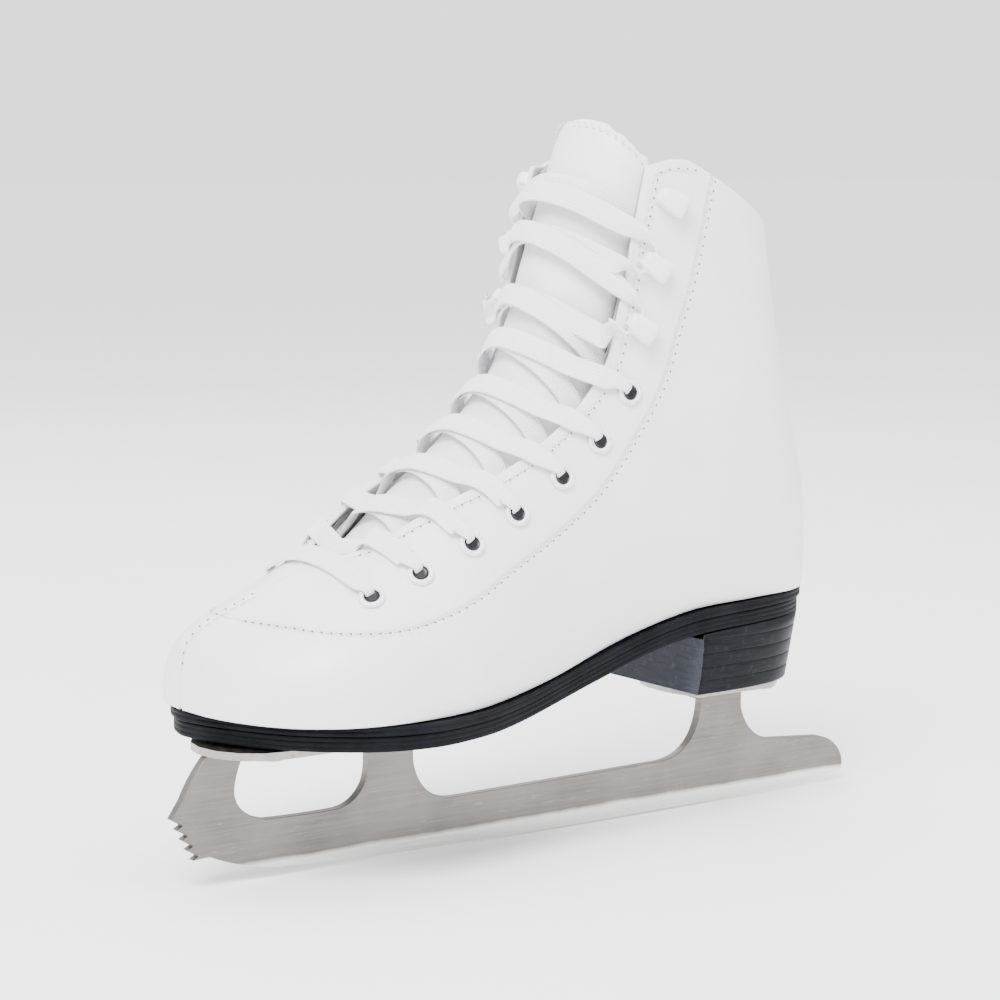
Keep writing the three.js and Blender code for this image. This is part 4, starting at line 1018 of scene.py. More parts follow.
STAY = [(79.8, 14), (95, 13), (110, 12), (130, 9.8), (150, 8), (175, 7.3), (206, 7)]


def stay_rows():
    """Ring numbers and half widths up the backstay."""
    rows = []
    for u in np.linspace(14.0, top_ring() - 0.02, 90):
        x, _, z = Ring.of(u, -1).points[0]
        if z > sole_top(x) + 0.4:
            half = profile(STAY, z)
            rows.append((u, half))
    return rows


# ------------------------------------------------------------------ fittings

def seat_on(u, from_edge, side):
    """Seat of an eyelet or a hook: place, outward direction, direction towards the throat."""
    across = side * (edge_at(u, side) + from_edge)
    point, normal, _ = on_front(u, across)
    inner, _, _ = on_front(u, across - side * 4)
    towards = inner - point
    towards = towards - normal * towards.dot(normal)
    return point, normal, towards / np.linalg.norm(towards)


SIDES = (("left", -1), ("right", 1))


def eyelet_template():
    bore, outer, flange = EYELET_BORE, EYELET_TUBE, EYELET_FLANGE
    low, seat = -LINING_BOTTOM - 0.2, EYELET_SEAT - 0.35
    top = EYELET_SEAT + EYELET_HEIGHT
    outline = [(0.0, low), (outer, low), (outer, seat), (flange, seat), (flange + 0.05, seat + 0.35)]
    for i in range(7):
        a = math.pi * i / 6
        middle, half = (flange + bore) / 2, (flange - bore) / 2
        outline.append((middle + half * math.cos(a), seat + 0.5 + (top - seat - 0.5) * math.sin(a)))
    outline += [(bore - 0.02, seat + 0.42), (bore * 0.5, seat + 0.42), (0.0, seat + 0.42)]
    return turned_template("eyelet_shape", outline, 36, (3.0, top - 0.45))


def rivet_template(name, head, shank, length, height=1.5):
    outline = [(0.0, -height)]
    for i in range(1, 7):
        a = math.pi / 2 * i / 6
        outline.append((head * math.sin(a), -height * math.cos(a) * 0.8 - 0.2 * height))
    outline += [(head, 0.0), (shank, 0.02), (shank, length), (0.0, length)]
    return turned_template(name, outline, 28)


def hook_outline(low, base_top, cap_low, cap_top):
    """Side view of a hook: along its base, round its neck, over its cap and back underneath."""
    front = HOOK_BASE_RADIUS + 0.6
    tail = front + 1.6 - HOOK_REACH
    middle, half = (base_top + cap_low) / 2 - 0.2, (cap_low - low) / 2 + 0.9
    neck = [
        (front + 1.6 * math.sin(a), middle - half * math.cos(a)) for a in np.linspace(0.25, 2.9, 9)
    ]
    cap = [(0.5, cap_top + 0.1), (-3, cap_top - 0.1), (tail + 0.8, cap_top - 0.7), (tail, cap_low)]
    under = [(tail + 0.4, cap_low - 0.45), (-3, cap_low - 0.2), (0.5, cap_low), (front - 0.4, cap_low)]
    slot = [(front, cap_low - 0.8), (front, base_top + 0.8), (front - 0.5, base_top)]
    seat = [(0, base_top), (-HOOK_BASE_RADIUS, base_top)]
    return [(-HOOK_BASE_RADIUS, low), (0, low)] + neck + cap + under + slot + seat


def hook_template():
    """A hook: a round base, a curved neck on the throat side, and a domed cap behind it."""
    low = GAP + 0.1
    base_top = low + HOOK_BASE_THICK
    cap_low = base_top + HOOK_SLOT
    outline = hook_outline(low, base_top, cap_low, cap_low + 1.4)
    long_half = (HOOK_REACH + 1.6) / 2 + 1.4
    made = bmesh.new()
    rows = []
    for f in np.linspace(-1, 1, 9):
        row = []
        for x, z in outline:
            reach = math.sqrt(max(1 - (x / long_half) ** 2, 0.02))
            y = f * HOOK_HEIGHT / 2 * min(reach * 1.02, 1)
            dome = 1.25 - 0.8 * f * f
            height = cap_low + (z - cap_low) * dome if z > cap_low else z
            row.append(made.verts.new((x * MM, y * MM, height * MM)))
        rows.append(row)
    for near, far in zip(rows[:-1], rows[1:]):
        for j, k in zip(range(len(outline)), [*range(1, len(outline)), 0]):
            made.faces.new([near[j], near[k], far[k], far[j]])
    made.faces.new(rows[0])
    made.faces.new(list(reversed(rows[-1])))
    bmesh.ops.triangulate(made, faces=[f for f in made.faces if len(f.verts) > 4])
    bmesh.ops.recalc_face_normals(made, faces=made.faces)
    piece = new_object("hook_shape", mesh_of(made, "hook_cage"))
    fine = piece.modifiers.new("fine", "SUBSURF")
    fine.levels = fine.render_levels = 2
    keep_result(piece)
    rim = HOOK_HEIGHT * MM * 0.46
    store_values(piece.data, "rim", [float(abs(v.co.y) > rim) for v in piece.data.vertices])
    shade_smooth(piece.data)
    return piece


# ------------------------------------------------------------------ lace

FLAT, HALF_LACE = LACE_WIDTH, LACE_THICK / 2
LAYER = LACE_THICK + GAP + 0.1
OVER = GAP + HALF_LACE + 0.35
OVER_FLANGE = EYELET_SEAT + EYELET_HEIGHT + GAP + HALF_LACE
UNDER = -LINING_BOTTOM - GAP - HALF_LACE
UNDER_EYELET = -LINING_BOTTOM - 0.2 - GAP - HALF_LACE
ON_TONGUE = UNDER + 1.5
PAST_HOOK = 0.54


def down_through(eyelet, side):
    """Over an eyelet's rim, down its bore and out under the lining."""
    u, from_edge = eyelet
    hole = edge_at(u, side) + from_edge
    return [
        (u - 0.05, side * (hole - 7), OVER + 0.7, 5.8, 0),
        (u, side * (hole - 3.2), OVER_FLANGE, 4.4, 0),
        (u, side * (hole - 1.6), OVER_FLANGE - 0.5, LACE_BUNCHED, 0),
        (u, side * (hole - 1.2), OVER_FLANGE - 2.0, LACE_BUNCHED, 0),
        (u, side * (hole - 1.2), UNDER_EYELET + 2, LACE_BUNCHED, 0),
        (u, side * (hole - 1.5), UNDER_EYELET + 0.3, LACE_BUNCHED, 0),
        (u, side * (hole - 2), UNDER_EYELET, LACE_BUNCHED, 0),
        (u + 0.03, side * (hole - 7), UNDER_EYELET, 5.5, 0),
    ]


def cross_over(u0, u1, side, upper, reach):
    """From under one facing, over the tongue, to above the other."""
    at = lambda f: u0 + (u1 - u0) * f
    here = lambda f: side * edge_at(at(f), side)
    there = lambda f: -side * edge_at(at(f), -side)
    lift = LAYER if upper else 0
    first = u0 < EYELETS[1][0]
    under = UNDER - 0.35 if first else UNDER
    rise = -0.5 if first else 0.8
    leave = ON_TONGUE - 0.8 if first else ON_TONGUE
    clear = 1.2 if first else 0
    stops = [
        (at(0.12), here(0.12) + side * 4, under, FLAT, 0),
        (at(0.32), here(0.32) * 0.85, UNDER + rise, FLAT, 0),
        (at(0.42), here(0.42) * 0.5, leave + lift, FLAT, 0),
        (at(0.5), side * 0.4, ON_TONGUE + lift, FLAT, 0),
        (at(0.58), there(0.58) * 0.45, ON_TONGUE + lift, FLAT, 0),
        (at(0.68), there(0.68) * 0.74, -3 + lift * 0.4, FLAT, 0),
        (at(0.74), there(0.74) * 0.87, clear, FLAT, 0),
        (at(0.81), there(0.81) * 0.97, OVER + 0.2 + clear, FLAT, 0),
        (at(0.87), there(0.87) - side * 2, OVER + 0.4, FLAT, 0),
    ]
    if not reach:
        stops.pop()
    if reach > 14:
        for f in (0.35, 0.65):
            stops.append((at(0.88 + 0.1 * f), there(0.95) - side * reach * f, OVER, FLAT, 0))
    return stops


def round_hook(hook, side):
    """Round a hook's neck, from below it to above it, in the slot behind the neck."""
    point, normal, towards = seat_on(*hook, side)
    sideways = np.cross(normal, towards)
    if sideways[2] < 0:
        sideways = -sideways
    neck = HOOK_BASE_RADIUS + 0.6
    slot = GAP + 0.1 + HOOK_BASE_THICK + HOOK_SLOT / 2
    clear = HOOK_HEIGHT / 2 + GAP + HALF_LACE
    turn = [
        (neck + 6.5, -clear - 1.2, slot - 0.6, 5.4, 0.3),
        (neck + 2.8, -clear - 0.3, slot, 3.2, 0.8),
        (neck - 0.3, -clear, slot, 2.2, 1),
        (neck - 1.5, -clear + 2, slot, 2.2, 1),
        (neck - 1.6, -clear + 4, slot, 2.2, 1),
    ]
    turn += [(a, -b, *rest) for a, b, *rest in reversed(turn)]
    return [
        (point + towards * a + sideways * b + normal * c, normal, sideways, width, twist)
        for a, b, c, width, twist in turn
    ]


def cross_high(u0, u1, side, upper):
    """From a hook on one side over the tongue to just below a hook on the other."""
    at = lambda f: u0 + (u1 - u0) * f
    here = lambda f: side * edge_at(at(f), side)
    there = lambda f: -side * edge_at(at(f), -side)
    lift = LAYER if upper else 0
    return [
        (at(0.16), here(0.16) * 0.85, -0.6, FLAT, 0.1),
        (at(0.34), here(0.34) * 0.45, -3.6 + lift, FLAT, 0),
        (at(0.5), side * 0.5, -4.2 + lift, FLAT, 0),
        (at(0.66), there(0.66) * 0.45, -3.6 + lift, FLAT, 0),
        (at(0.84), there(0.84) * 0.85, -0.6, FLAT, 0.1),
    ]


def lace_end(start):
    """One end of the lace, from the bar's middle up to where it is tucked away."""
    side = start
    first, reach = EYELETS[0]
    bar = edge_at(first, side) + reach
    stops = [(first, side * bar * f, OVER, FLAT, 0) for f in (0.2, 0.4, 0.6)]
    stops += down_through(EYELETS[0], side)
    for k in range(1, len(EYELETS)):
        upper = (k % 2 == 1) == (start > 0)
        stops += cross_over(EYELETS[k - 1][0], EYELETS[k][0], side, upper, EYELETS[k][1])
        side = -side
        stops += down_through(EYELETS[k], side)
    stops += cross_over(EYELETS[-1][0], HOOKS[0][0] - PAST_HOOK, side, start < 0, 0)
    side = -side
    stops += round_hook(HOOKS[0], side)
    stops += cross_high(HOOKS[0][0] + PAST_HOOK, HOOKS[1][0] - PAST_HOOK, side, start > 0)
    side = -side
    stops += round_hook(HOOKS[1], side)
    tuck = HOOKS[1][0] + (0.5 if side < 0 else 1.1)
    stops += cross_high(HOOKS[1][0] + PAST_HOOK, tuck, side, start < 0)[:4]
    side = -side
    stops.append((tuck - 0.1, side * (edge_at(tuck, side) - 8), UNDER + 0.6, FLAT, 0))
    stops.append((tuck, side * (edge_at(tuck, side) - 2), UNDER, FLAT, 0))
    stops.append((tuck + 0.05, side * (edge_at(tuck, side) + 5), UNDER, FLAT, 0))
    return stops


def averaged(rows, rounds):
    """Rows drawn part way to the middle of their neighbours, the ends kept."""
    rows = np.array(rows)
    for _ in range(rounds):
        rows[1:-1] = rows[1:-1] * 0.5 + (rows[:-2] + rows[2:]) * 0.25
    return rows


def lace_mesh(name):
    """The whole lace: a flat braid with rounded edges along its laced route."""
    middle = (EYELETS[0][0], 0.01, OVER, FLAT, 0)
    stops = lace_end(-1)[::-1] + [middle] + lace_end(1)
    table = []
    for stop in stops:
        if len(np.shape(stop[0])):
            point, normal, along, width, twist = stop
        else:
            u, across, lift, width, twist = stop
            point, normal, along = on_front(u, across, lift)
        table.append(np.concatenate([point, normal, along, [width, twist]]))
    fine = smooth_path(table, 5)
    fine = averaged(fine, 2)
    travel = np.gradient(fine[:, :3], axis=0)
    travel /= np.linalg.norm(travel, axis=1, keepdims=True)
    wides = fine[:, 6:9] * (1 - fine[:, 10:]) + fine[:, 3:6] * fine[:, 10:]
    for _ in range(4):
        wides = wides - travel * (wides * travel).sum(axis=1, keepdims=True)
        wides = averaged(wides / np.linalg.norm(wides, axis=1, keepdims=True), 3)
    runs_so_far = np.cumsum(np.linalg.norm(np.diff(fine[:, :3], axis=0, prepend=fine[:1, :3]), axis=1))
    points, runs, crosses = [], [], []
    count = 12
    for row, along_lace, wide, run in zip(fine, travel, wides, runs_so_far):
        point = row[:3]
        wide = wide - along_lace * wide.dot(along_lace)
        wide = wide / np.linalg.norm(wide)
        thick = np.cross(along_lace, wide)
        bulk = HALF_LACE * (0.72 + 0.5 * (1 - row[9] / LACE_WIDTH))
        for j in range(count):
            a = 2 * math.pi * (j + 0.5) / count
            c, s = math.cos(a), math.sin(a)
            x = math.copysign(abs(c) ** 0.45, c)
            z = math.copysign(abs(s) ** 0.8, s)
            points.append(point + wide * x * row[9] / 2 + thick * z * bulk)
            runs.append(run)
            crosses.append(x)
    faces = loft_faces(len(fine), count)
    return outward(mesh_piece(name, points, faces, values={"run": runs, "across": crosses}))


# ------------------------------------------------------------------ tongue

TONGUE_FIRST, TONGUE_LAST = 7.75, 20.35
TONGUE_ARC = 0.9


def tongue_half(f):
    """Half width of the tongue, narrow at its seam in the vamp and rounded at the top."""
    base = 0.6 + 0.4 * math.sin(min(f * 2.4, 1) * math.pi / 2)
    corner = 1 - 5 * (f - 0.88) ** 2 if f > 0.88 else 1
    return TONGUE_HALF_WIDTH * base * corner


def tongue_place(f, share, depth, inset=0.0):
    """Point of the tongue: f up its length, share -1 to 1 across it, depth below the boot."""
    u = TONGUE_FIRST + (TONGUE_LAST - TONGUE_FIRST) * f - TONGUE_ARC * f ** 4 * share ** 2
    return on_front(u, (tongue_half(f) - inset) * share, -depth)


def tongue_slab(name, depth, thick, inset, rows=60, columns=30, f0=0.0, f1=1.0):
    """A closed slab that follows the tongue, with round edges."""
    points = []
    shares = np.sin(np.linspace(-math.pi / 2, math.pi / 2, columns))
    fs = f0 + (f1 - f0) * (0.5 + 0.5 * np.sin(np.linspace(-math.pi / 2, math.pi / 2, rows)))
    for f in fs:
        ends = 1 - min(f - f0, f1 - f) * 150 / (thick * 0.5)
        row_thick = thick * math.sqrt(max(1 - max(ends, 0) ** 2, 0.02))
        top = []
        for share in shares:
            near = 1 - (1 - abs(share)) * tongue_half(f) / (thick * 0.5)
            local = row_thick * math.sqrt(max(1 - max(near, 0) ** 2, 0.02))
            top.append((share, depth + (thick - local) / 2, depth + (thick + local) / 2))
        points += [tongue_place(f, s, a, inset)[0] for s, a, _ in top]
        points += [tongue_place(f, s, b, inset)[0] for s, _, b in reversed(top)]
    return outward(mesh_piece(name, points, loft_faces(rows, 2 * columns)))


def puffed(piece, voxel, cap):
    """Remeshes a pad and lets cloth with inner pressure fill it, moving no point past the cap."""
    remesh = piece.modifiers.new("even", "REMESH")
    remesh.mode = "VOXEL"
    remesh.voxel_size = voxel * MM
    keep_result(piece)
    rest = np.empty(len(piece.data.vertices) * 3)
    piece.data.vertices.foreach_get("co", rest)
    rest = rest.reshape(-1, 3)
    cloth = piece.modifiers.new("fill", "CLOTH")
    cloth.settings.use_pressure = True
    cloth.settings.uniform_pressure_force = 4.0
    cloth.settings.effector_weights.gravity = 0.0
    cloth.settings.quality = 5
    cloth.point_cache.frame_start = 1
    cloth.point_cache.frame_end = 20
    scene = bpy.context.scene
    for frame_number in range(1, 21):
        scene.frame_set(frame_number)
    graph = bpy.context.evaluated_depsgraph_get()
    made = bpy.data.meshes.new_from_object(piece.evaluated_get(graph))
    moved = np.empty(len(made.vertices) * 3)
    made.vertices.foreach_get("co", moved)
    move = moved.reshape(-1, 3) - rest
    size = np.linalg.norm(move, axis=1, keepdims=True)
    move = move * np.minimum(1, cap * MM / np.maximum(size, 1e-9))
    made.vertices.foreach_set("co", (rest + move).ravel())
    piece.modifiers.clear()
    piece.data = made
    scene.frame_set(1)
    return piece


def smoothed(piece, rounds=6, levels=1):
    """Evens out a remeshed pad and adds a subdivision."""
    even = piece.modifiers.new("relax", "SMOOTH")
    even.factor = 0.5
    even.iterations = rounds
    fine = piece.modifiers.new("fine", "SUBSURF")
    fine.levels = fine.render_levels = levels
    keep_result(piece)
    shade_smooth(piece.data)
    return piece


# ------------------------------------------------------------------ sole, heel and blade

def sole_point(t, grow):
    """Point of the sole's outline: t from 0 at the toe, round the left, to the toe again."""
    left = [(x, y) for x, y, _ in SOLE_OUTLINE]
    right = [(x, y) for x, _, y in reversed(SOLE_OUTLINE)]
    ring = [TOE_POINT, *left, HEEL_POINT, *right]
    n = len(ring)
    def at(s):
        i = int(math.floor(s)) % n
        f = s - math.floor(s)
        p = [np.array(ring[(i + k) % n], float) for k in (-1, 0, 1, 2)]
        knots = [0.0]
        for k in range(3):
            knots.append(knots[-1] + max(np.linalg.norm(p[k + 1] - p[k]) ** 0.5, 1e-6))
        s = knots[1] + (knots[2] - knots[1]) * f
        mix = lambda a, b, ka, kb: a * (kb - s) / (kb - ka) + b * (s - ka) / (kb - ka)
        a1 = mix(p[0], p[1], knots[0], knots[1])
        a2 = mix(p[1], p[2], knots[1], knots[2])
        a3 = mix(p[2], p[3], knots[2], knots[3])
        b1 = mix(a1, a2, knots[0], knots[2])
        b2 = mix(a2, a3, knots[1], knots[3])
        return mix(b1, b2, knots[1], knots[2])
    here = at(t)
    along = at(t + 0.02) - at(t - 0.02)
    along = along / np.linalg.norm(along)
    return here + np.array([along[1], -along[0]]) * grow


SOLE_TURN = 2 * len(SOLE_OUTLINE) + 2


def sole_slab(name, edge_profile, steps=9):
    """A layer of the sole: the edge profile is (grow, height above the sole's top, groove)."""
    ts = np.arange(SOLE_TURN * steps) / steps
    count = len(ts)
    points, grooves = [], []
    for grow, height, groove in edge_profile:
        for t in ts:
            x, y = sole_point(t, grow)
            points.append((x, y, sole_top(x) + height))
            grooves.append(groove)
    levels = len(edge_profile)
    faces = []
    for k in range(levels - 1):
        for i in range(count):
            j = (i + 1) % count
            faces.append((k * count + i, k * count + j, (k + 1) * count + j, (k + 1) * count + i))
    half = count // 2
    for base in (0, (levels - 1) * count):
        for i in range(half):
            a, b = base + i, base + i + 1
            c, d = base + (count - i) % count, base + (count - i - 1) % count
            ring = [a, b, d, c]
            faces.append(tuple(dict.fromkeys(ring)))
    faces = [f for f in faces if len(f) > 2]
    return outward(mesh_piece(name, points, faces, values={"groove": grooves}))


def breast_x(z):
    """The heel's concave front."""
    return 49 + 3.5 - 90 + math.sqrt(90 ** 2 - (z - 58) ** 2)


def heel_piece(name):
    """The heel: layered sides with fine grooves and a smooth concave front."""
    layer = 4.9
    heights, inward = [], []
    z = BLADE_HEIGHT
    while z < 66.5:
        for dz, dent in ((0, 0.45), (0.25, 0.1), (0.6, 0.0), (layer - 0.6, 0.0), (layer - 0.25, 0.1)):
            if z + dz < 66.8:
                heights.append(z + dz)
                inward.append(dent)
        z += layer
    ts = [t for t in np.arange(SOLE_TURN * 10) / 10 if sole_point(t, -1)[0] > 40]
    points, grooves = [], []
    rows = list(zip(heights, inward)) + [(None, 0.0)]
    for z, dent in rows:
        ring = []
        for t in ts:
            x, y = sole_point(t, -1.0)
            top = sole_top(x) - MIDSOLE_THICK - GAP - OUTSOLE_THICK - GAP
            height = top if z is None else z
            lean = (top - height) / (top - BLADE_HEIGHT)
            away = math.hypot(x - 80, y)
            pull = 1 - (4.0 * lean + dent) / away
            ring.append([80 + (x - 80) * pull, y * pull, height])
        kept = []
        for p in ring:
            limit = breast_x(p[2])
            kept.append([max(p[0], limit), p[1], p[2]])
        left, right = kept[0], kept[-1]
        across = []
        for f in np.linspace(0, 1, 14)[1:-1]:
            y = right[1] + (left[1] - right[1]) * f
            across.append([breast_x(right[2]), y, right[2]])
        points += kept + across
        grooves += [dent * 2.2] * len(kept) + [0.0] * len(across)
        width = len(kept) + len(across)
    faces = loft_faces(len(rows), width)
    piece = outward(mesh_piece(name, points, faces, values={"groove": grooves}), merge=2e-6)
    piece.data.materials.append(finish_of("heel"))
    piece.data.materials.append(finish_of("breast_painted_light"))
    # Faces turned to the front get the lighter copy of the heel finish: painted light, not a different
    # plastic.
    for polygon in piece.data.polygons:
        if polygon.normal.x < -0.75 and len(polygon.vertices) <= 4:
            polygon.material_index = 1
    return piece


def blade_outline(steps=14):
    """Side view of the blade: toe picks, running edge, tail, stanchions and windows."""
    top = BLADE_HEIGHT - GAP - 2.5 - GAP
    line = [(-129, top)]
    def to(x, z):
        line.append((x, z))
    def bend(cx, cz, x, z):
        x0, z0 = line[-1]
        for i in range(1, steps + 1):
            f = i / steps
            a, b, c = (1 - f) ** 2, 2 * f * (1 - f), f * f
            line.append((a * x0 + b * cx + c * x, a * z0 + b * cz + c * z))
    bend(-134.5, 37, -138, 29.5)
    to(-142, 23.6)
    picks = 5
    for i in range(picks - 1):
        f, g = (i + 0.55) / (picks - 1), (i + 1) / (picks - 1)
        to(-142 + 7.4 * f + 3, 23.6 - 14.2 * f - 0.4)
        to(-142 + 7.4 * g, 23.6 - 14.2 * g)
    to(-128.6, 9.8)
    bend(-117, 4.6, -104, 2.9)
    bend(-80, 0.9, -46, 0.5)
    bend(10, -0.3, 60, 0.1)
    bend(104, 0.6, 141.6, 3.4)
    bend(143.2, 8.2, 139.8, 12.4)
    bend(136.6, 16.6, 130, 17.9)
    to(107, 19.8)
    bend(95.5, 21.4, 92.4, 33)
    bend(92, 38, 93, top)
    to(73.5, top)
    bend(74, 19, 55, 17.6)
    to(-34, 16.8)
    bend(-48, 17.4, -50.6, 31)
    bend(-51, 37, -50, top)
    to(-69, top)
    bend(-68, 30, -70.2, 26)
    bend(-74, 19.2, -82, 19)
    bend(-96, 18.7, -108, 19.4)
    bend(-121.8, 23, -118.6, 34)
    bend(-117.6, 38.5, -115, top)
    return line


def blade_piece(name):
    """The runner: a flat ground plate with eased edges."""
    half = BLADE_THICK / 2
    made = bmesh.new()
    outline = blade_outline()
    near = [made.verts.new(world((x, -half, z))) for x, z in outline]
    far = [made.verts.new(world((x, half, z))) for x, z in outline]
    made.faces.new(near)
    made.faces.new(list(reversed(far)))
    n = len(outline)
    for i in range(n):
        j = (i + 1) % n
        made.faces.new([near[i], far[i], far[j], near[j]])
    bmesh.ops.recalc_face_normals(made, faces=made.faces)
    piece = new_object(name, mesh_of(made, name))
    ease = piece.modifiers.new("eased", "BEVEL")
    ease.width = 0.28 * MM
    ease.segments = 2
    ease.limit_method = "ANGLE"
    ease.angle_limit = math.radians(50)
    ease.harden_normals = True
    piece.modifiers.new("flat faces", "TRIANGULATE").min_vertices = 5
    return keep_result(piece)


# ------------------------------------------------------------------ settings and operators

class SkateUpperSettings(bpy.types.PropertyGroup):
    """Sizes of the stitching and of the leather's finish."""

    stitch_pitch: bpy.props.FloatProperty(
        name="Stitch pitch", description="Distance from one stitch to the next, in millimetres",
        default=3.1, min=1.5, max=6)
    stitch_length: bpy.props.FloatProperty(
        name="Stitch length", description="Visible length of one stitch, in millimetres",
        default=2.2, min=1, max=5)
    stitch_width: bpy.props.FloatProperty(
        name="Thread width", description="Width of the sewing thread, in millimetres",
        default=0.75, min=0.3, max=2)
    edge_inset: bpy.props.FloatProperty(
        name="Edge stitch inset", description="Distance of the edge stitching from the cuff's edge, "
        "in millimetres", default=3.6, min=1, max=8)
    leather_columns: bpy.props.IntProperty(
        name="Leather columns", description="Points across each quarter's outer surface",
        default=46, min=20, max=120)


class SkateTongueSettings(bpy.types.PropertyGroup):
    """How full the tongue is padded."""

    voxel: bpy.props.FloatProperty(
        name="Remesh size", description="Voxel size of the padded tongue, in millimetres",
        default=4.0, min=2, max=8)
    swell: bpy.props.FloatProperty(
        name="Swell", description="Furthest that the padding pushes out, in millimetres",
        default=1.2, min=0, max=4)


class SkateStageSettings(bpy.types.PropertyGroup):
    """Floor, lights and camera."""

    lens: bpy.props.FloatProperty(
        name="Lens", description="Focal length of the camera", default=96.84, unit="CAMERA")
    turn: bpy.props.FloatProperty(
        name="View turn", description="Camera angle round the skate", default=math.radians(-35),
        subtype="ANGLE", unit="ROTATION")
    pitch: bpy.props.FloatProperty(
        name="View pitch", description="Camera angle above the floor", default=math.radians(7),
        subtype="ANGLE", unit="ROTATION")
    key_power: bpy.props.FloatProperty(
        name="Key light", description="Power of the main soft light", default=75.0, unit="POWER")
    fill_power: bpy.props.FloatProperty(
        name="Fill light", description="Power of the fill light", default=9.0, unit="POWER")
    air: bpy.props.FloatProperty(
        name="Room light", description="Brightness of the even light all round", default=1.9)


class SKATE_OT_quarters(bpy.types.Operator):
    """Make the two leather quarters of the upper"""

    bl_idname = "skate.quarters"
    bl_label = "Leather quarters"

    def execute(self, context):
        columns = context.scene.skate_upper.leather_columns
        for side_name, side in SIDES:
            piece = upper_shell(f"leather_{side_name}", side, 0.0, -LEATHER, columns, marked=True)
            finish_piece(piece, "boot", finish_of("leather"), [f"quarter_{side_name}"])
        return {"FINISHED"}


class SKATE_OT_lining(bpy.types.Operator):
    """Make the grey lining inside the boot and the rolled binding round its edge"""

    bl_idname = "skate.lining"
    bl_label = "Lining"

    def execute(self, context):
        for side_name, side in SIDES:
            piece = upper_shell(
                f"lining_{side_name}", side, -LINING_TOP, -LINING_BOTTOM, 26, drop=0.6, inset=0.5,
                fine=0.7)
            replaced = ["lining"] if side_name == "left" else []
            finish_piece(piece, "boot", finish_of("lining"), replaced)
            band = binding(f"binding_{side_name}", side)
            finish_piece(band, "boot", finish_of("lining"))
        return {"FINISHED"}


class SKATE_OT_backstay(bpy.types.Operator):
    """Make the strip that covers the back seam"""

    bl_idname = "skate.backstay"
    bl_label = "Backstay"

    def execute(self, context):
        points, edges = [], []
        rows = stay_rows()
        for u, half in rows:
            cols = even_columns(-half, half, 12)
            inside = half - np.abs(cols)
            tops = 1.3 + edge_lift(inside, 0.45)
            points += [back_strip(u, c, h)[0] for c, h in zip(cols, tops)]
            lows = GAP - edge_lift(inside, 0.3)
            points += [back_strip(u, c, h)[0] for c, h in zip(cols[::-1], lows[::-1])]
            edges += list(inside) + [PLAIN] * len(cols)
        width = len(points) // len(rows)
        values = {"edge": edges, "line": [PLAIN] * len(points)}
        piece = outward(mesh_piece("back_strip", points, loft_faces(len(rows), width), values=values))
        finish_piece(piece, "boot", finish_of("leather"), ["backstay"])
        return {"FINISHED"}


class SKATE_OT_stitching(bpy.types.Operator):
    """Sew the rows along the facings, the cuff, the toe seam, the backstay and the tongue"""

    bl_idname = "skate.stitching"
    bl_label = "Stitching"

    def execute(self, context):
        s = context.scene.skate_upper
        size = (s.stitch_length, s.stitch_width, s.stitch_width * 0.8)
        rows = [toe_seam_path(0.12)]
        for _, side in SIDES:
            rows.append(vamp_path(side, 0.15))
            rows.append(facing_path(side, s.edge_inset, lift=0.12))
            stay = [back_strip(u, side * (half - 1.5), 1.42) for u, half in stay_rows()]
            rows.append(([p for p, _ in stay], [n for _, n in stay]))
        thread_rows = stitched("stitching", rows, s.stitch_pitch, size, finish_of("thread"))
        finish_piece(thread_rows, "boot")
        # Rows moved half a pitch, for dark marks between the stitches that are the painted shadow of the
        # needle holes.
        shifted = []
        for points, normals in rows:
            points = np.array(points)
            step = points[1] - points[0]
            move = step / np.linalg.norm(step) * s.stitch_pitch / 2
            shifted.append((points + move, normals))
        hole = (0.85, s.stitch_width * 0.9, 0.5)
        hole_shadows = stitched("needle_holes", shifted, s.stitch_pitch, hole, finish_of("needle_hole_shadow"))
        finish_piece(hole_shadows, "boot")
        tongue_row = []
        for share in np.linspace(-0.9, 0.9, 60):
            f = 0.965 - 0.05 * abs(share) ** 6
            point, normal, _ = tongue_place(f, share * 0.9, TONGUE_TOP - 0.55)
            tongue_row.append((point, normal))
        row = ([p for p, _ in tongue_row], [n for _, n in tongue_row])
        sewn = stitched("tongue_stitching", [row], s.stitch_pitch, size, finish_of("thread"))
        finish_piece(sewn, "tongue")
        return {"FINISHED"}


class SKATE_OT_eyelets(bpy.types.Operator):
    """Set the fourteen enamelled eyelets"""

    bl_idname = "skate.eyelets"
    bl_label = "Eyelets"

    def execute(self, context):
        seats = [seat_on(*eyelet, side) for eyelet in EYELETS for _, side in SIDES]
        piece = fitted("eyelets", seats, eyelet_template(), finish_of("enamel"))
        names = [f"eyelet_{name}_{i + 1}" for name, _ in SIDES for i in range(len(EYELETS))]
        finish_piece(piece, "boot", replaces=names)
        return {"FINISHED"}


